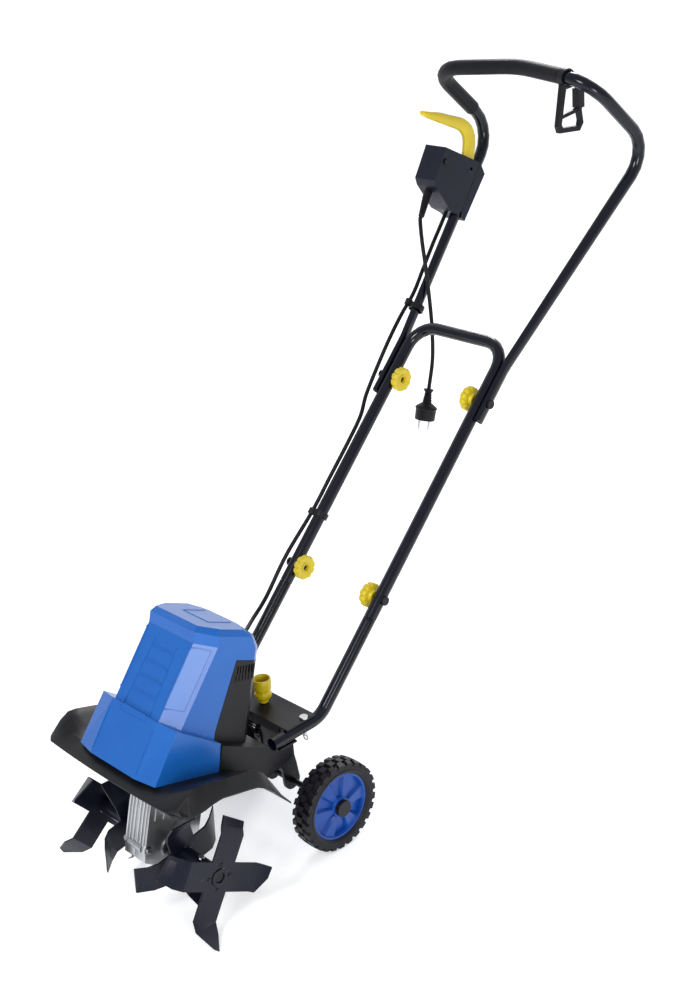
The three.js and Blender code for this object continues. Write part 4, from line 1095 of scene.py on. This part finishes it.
@dataclass
class TransportWheel:
    """One wheel: a lugged tyre on a disc with sunk panels."""

    side: Side
    radius: float = 75.0
    lugs: int = 26
    wedges: int = 6
    wedge_step: float = 2.6
    disc_steps: int = 120

    def build(self) -> None:
        """Make the tyre and the disc."""
        low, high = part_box(f"tyre_{self.side.word}")
        dlow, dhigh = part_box(f"wheel_disc_{self.side.word}")
        centre = Vector(JOINTS[f"wheel_spin_{self.side.word}"]["pos_m"])
        centre.y = (low.y + high.y) / 2
        half = (high.y - low.y) / 2 / MM
        rim = (dhigh.x - dlow.x) / 2 / MM + 0.3
        out = Vector((0, self.side.value, 0))
        self.tyre(centre, out, half, rim)
        self.disc(centre, out, half, rim - 0.3)

    def tyre(self, centre: Vector, out: Vector, half: float, rim: float) -> None:
        """Turn the carcass and set the lugs round it.

        Args:
            centre: Middle of the wheel.
            out: Direction away from the machine.
            half: Half the tyre's width, in millimetres.
            rim: Radius where the tyre sits, in millimetres.
        """
        crown = self.radius - 4.2
        wall = [(rim, 4), (rim + 2.5, 1.2), (rim + 6, 0.4), (rim + 8, 1.6), (crown - 3, 0.8),
                (crown - 0.6, 2), (crown, 5)]
        outline = [(r, inset - half) for r, inset in wall]
        outline += [(r, -h) for r, h in reversed(outline)]
        maker = Mesher().lathe(centre, out, outline, 72)
        turn = facing(out)
        pitch = 2 * math.pi / self.lugs
        rows = ((1 - half, -half * 0.36, 0, 0.2), (-half * 0.3, half * 0.3, 0.5, 0),
                (half * 0.36, half - 1, 0, -0.2))
        levels = ((crown - 2, 0.36), (self.radius - 0.7, 0.31), (self.radius, 0.27))
        for i in range(self.lugs):
            for low, high, shift, slant in rows:
                middle = pitch * (i + shift)
                rings = []
                for reach, wide in levels:
                    ring = []
                    for h, lean, ends in ((low, slant, (-wide, wide)), (high, -slant, (wide, -wide))):
                        drop = 0.88 if abs(h) > half - 2 and reach >= self.radius - 1 else 0
                        ring += [turned(centre, turn, reach - drop, middle + pitch * (end + lean * 0.6), h)
                                 for end in ends]
                    rings.append(ring)
                maker.ring_surface(rings)
        tyre = maker.piece(f"treaded_tyre_{self.side.word}", f"wheel_{self.side.word}", TREAD)
        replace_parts(tyre, f"tyre_{self.side.word}")

    def disc(self, centre: Vector, out: Vector, half: float, rim: float) -> None:
        """Form the disc: six raised wedges, six sunk ones and a hub.

        Args:
            centre: Middle of the wheel.
            out: Direction away from the machine.
            half: Half the tyre's width, in millimetres.
            rim: Outer radius of the disc, in millimetres.
        """
        turn = facing(out)
        maker = Mesher()
        outline = [(7, 0, 9), (7, 0, -9), (15, 0, -8), (rim - 5, 0, -7), (rim - 4, 0, -half + 4.6),
                   (rim, 0, -half + 4.4), (rim, 0, half - 4.4), (rim - 3.2, 0, half - 4.4),
                   (rim - 4.2, 0, half - 6.5), (rim - 5.4, 1, 10.5), (rim - 16, 1, 11.5), (25, 1, 13),
                   (17.5, 1, 14), (16.6, 0, 15.4), (16, 0, 16), (8.4, 0, 16)]
        rings = []
        for t in angles(self.disc_steps):
            raised = max(-1.0, min(1.0, 7 * math.cos(self.wedges * t)))
            sink = raised * self.wedge_step - self.wedge_step
            rings.append([turned(centre, turn, r, t, h + (sink if panel else 0)) for r, panel, h in outline])
        maker.ring_surface(rings, closed=True)
        disc = maker.piece(f"panelled_disc_{self.side.word}", f"wheel_{self.side.word}", WHEEL_BLUE)
        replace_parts(disc, f"wheel_disc_{self.side.word}")
        button = [(12.5, -1), (12.5, 0.8), (11.6, 1.7), (6.5, 2.2), (5.6, 1.2), (1, 1.2)]
        cap = Mesher().disc(centre + out * 16.2 * MM, out, button, 32)
        cap.piece(f"hub_cap_{self.side.word}", f"wheel_{self.side.word}", SHELL)


@dataclass
class Controls:
    """Switch box, lever, lock button, hook and cable clips."""

    lever_y: float = -147.0
    lever_sides: int = 24
    box_y: float = -158.0

    def build(self) -> None:
        """Dress the controls and add the case screws."""
        refine("switch_box_front", SWITCH, 2.6)
        refine("switch_box_rear", SWITCH, 1.6)
        self.lever()
        refine("lock_button", SHELL, 0.6)
        refine("cord_hook", SHELL, 1.5)
        refine("cable_clip_upper", SHELL, 0.4)
        refine("cable_clip_lower", SHELL, 0.4)
        self.screws()

    def lever(self) -> None:
        """Shape the squeeze lever: a flat neck that turns into a rounded, waved grip."""
        line = [(-913, 912, 6.2, 13.0), (-917, 925, 6.4, 14.0), (-921, 942, 6.6, 14.5),
                (-923, 958, 6.8, 14.5), (-918, 973, 7.0, 13.6), (-905, 984.5, 7.2, 11.4),
                (-890, 990.5, 7.4, 10.2), (-876, 996, 7.6, 9.8), (-863, 1001.5, 7.6, 8.8), (-850, 1006.5, 7.7, 8.9),
                (-837, 1011.5, 7.6, 7.2), (-825, 1015.5, 7.3, 6.2), (-814, 1020, 6.8, 4.6),
                (-808.5, 1023.5, 5.6, 3.4)]
        path = [Vector((x, self.lever_y, z)) for x, z, _, _ in line]
        rings = []
        for i, (point, (_, _, half, deep)) in enumerate(zip(path, line)):
            along = (path[min(i + 1, len(path) - 1)] - path[max(i - 1, 0)]).normalized()
            over = along.cross(Vector((0, 1, 0))).normalized()
            ring = []
            for t in angles(self.lever_sides):
                c, s = math.cos(t), math.sin(t)
                wide = half * math.copysign(abs(c) ** 0.8, c)
                tall = deep * math.copysign(abs(s) ** 0.9, s)
                ring.append(at(*(point + Vector((0, wide, 0)) + over * tall)))
            rings.append(ring)
        grip = Mesher().ring_surface(rings).piece("squeeze_lever", "switch_lever", YELLOW)
        smooth = grip.modifiers.new("smooth", "SUBSURF")
        smooth.levels = smooth.render_levels = 1
        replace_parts(grip, "switch_lever")

    def screws(self) -> None:
        """Sink the case screws into the box's two faces."""
        skin = Skin("switch_box_front")
        maker = Mesher()
        for x, z in ((-872, 852), (-905, 905)):
            for side in Side:
                out = Vector((0, side.value, 0))
                found = skin.hit(at(x, self.box_y + side.value * 80, z), -out)
                if found:
                    maker.disc(found[0], out, [(3.2, -0.4), (3.2, 0.3), (2.7, 0.7)], 20)
        maker.piece("case_screws", "upper_handle", BRACKET)


@dataclass
class MotorCable:
    """The lead from the switch box down to the motor, which flexes where the handle folds."""

    radius: float = 3.4
    knots: tuple[Place, ...] = (
        (-187.8, -25.1, 332), (-208, -31, 326), (-250, -62, 313), (-300, -98, 306), (-344, -110, 326),
        (-396, -112, 380), (-460, -110, 437), (-507, -110, 484), (-554, -110, 531), (-588, -113, 564),
        (-612, -121, 592), (-645, -126, 627.5), (-680, -127.5, 668), (-716, -131, 701), (-754, -136, 728.5),
        (-789, -143.5, 762), (-824, -151, 796), (-850, -155.5, 821), (-872, -157.5, 846),
    )
    flex: tuple[Place, Place] = ((-612, -121, 592), (-690, -128, 677))

    def build(self) -> None:
        """Sweep the cable in one piece across the fold, attached to no body."""
        line = smooth_line([at(*knot) for knot in self.knots], 10)
        cable = Mesher().tube(line, self.radius, 16).piece("motor_cable", None, CABLE)
        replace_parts(cable, "motor_cable_upper", "motor_cable_lower")
        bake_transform(cable)


@dataclass
class DriveParts:
    """What the shells hide: motor, fan, worm drive and microswitch."""

    def build(self) -> None:
        """Dress the hidden parts."""
        dress(STEEL, "stator", "worm")
        dress(SHELL, "brush_ring", "cooling_fan", "microswitch")
        dress(COPPER, "armature")
        dress(BRONZE, "worm_wheel")


def main() -> None:
    """Build every sub-assembly in order."""
    logging.basicConfig(level=logging.INFO, format="%(name)s: %(message)s")
    Studio().build()
    SupplyLead().build()
    wheels = [TransportWheel(side) for side in Side]
    builders = [MotorPod(), Tines(), Chassis(), *wheels, Controls(), MotorCable(), DriveParts()]
    for builder in builders:
        builder.build()
        log.info("built %s", type(builder).__name__)


if __name__ == "__main__":
    main()
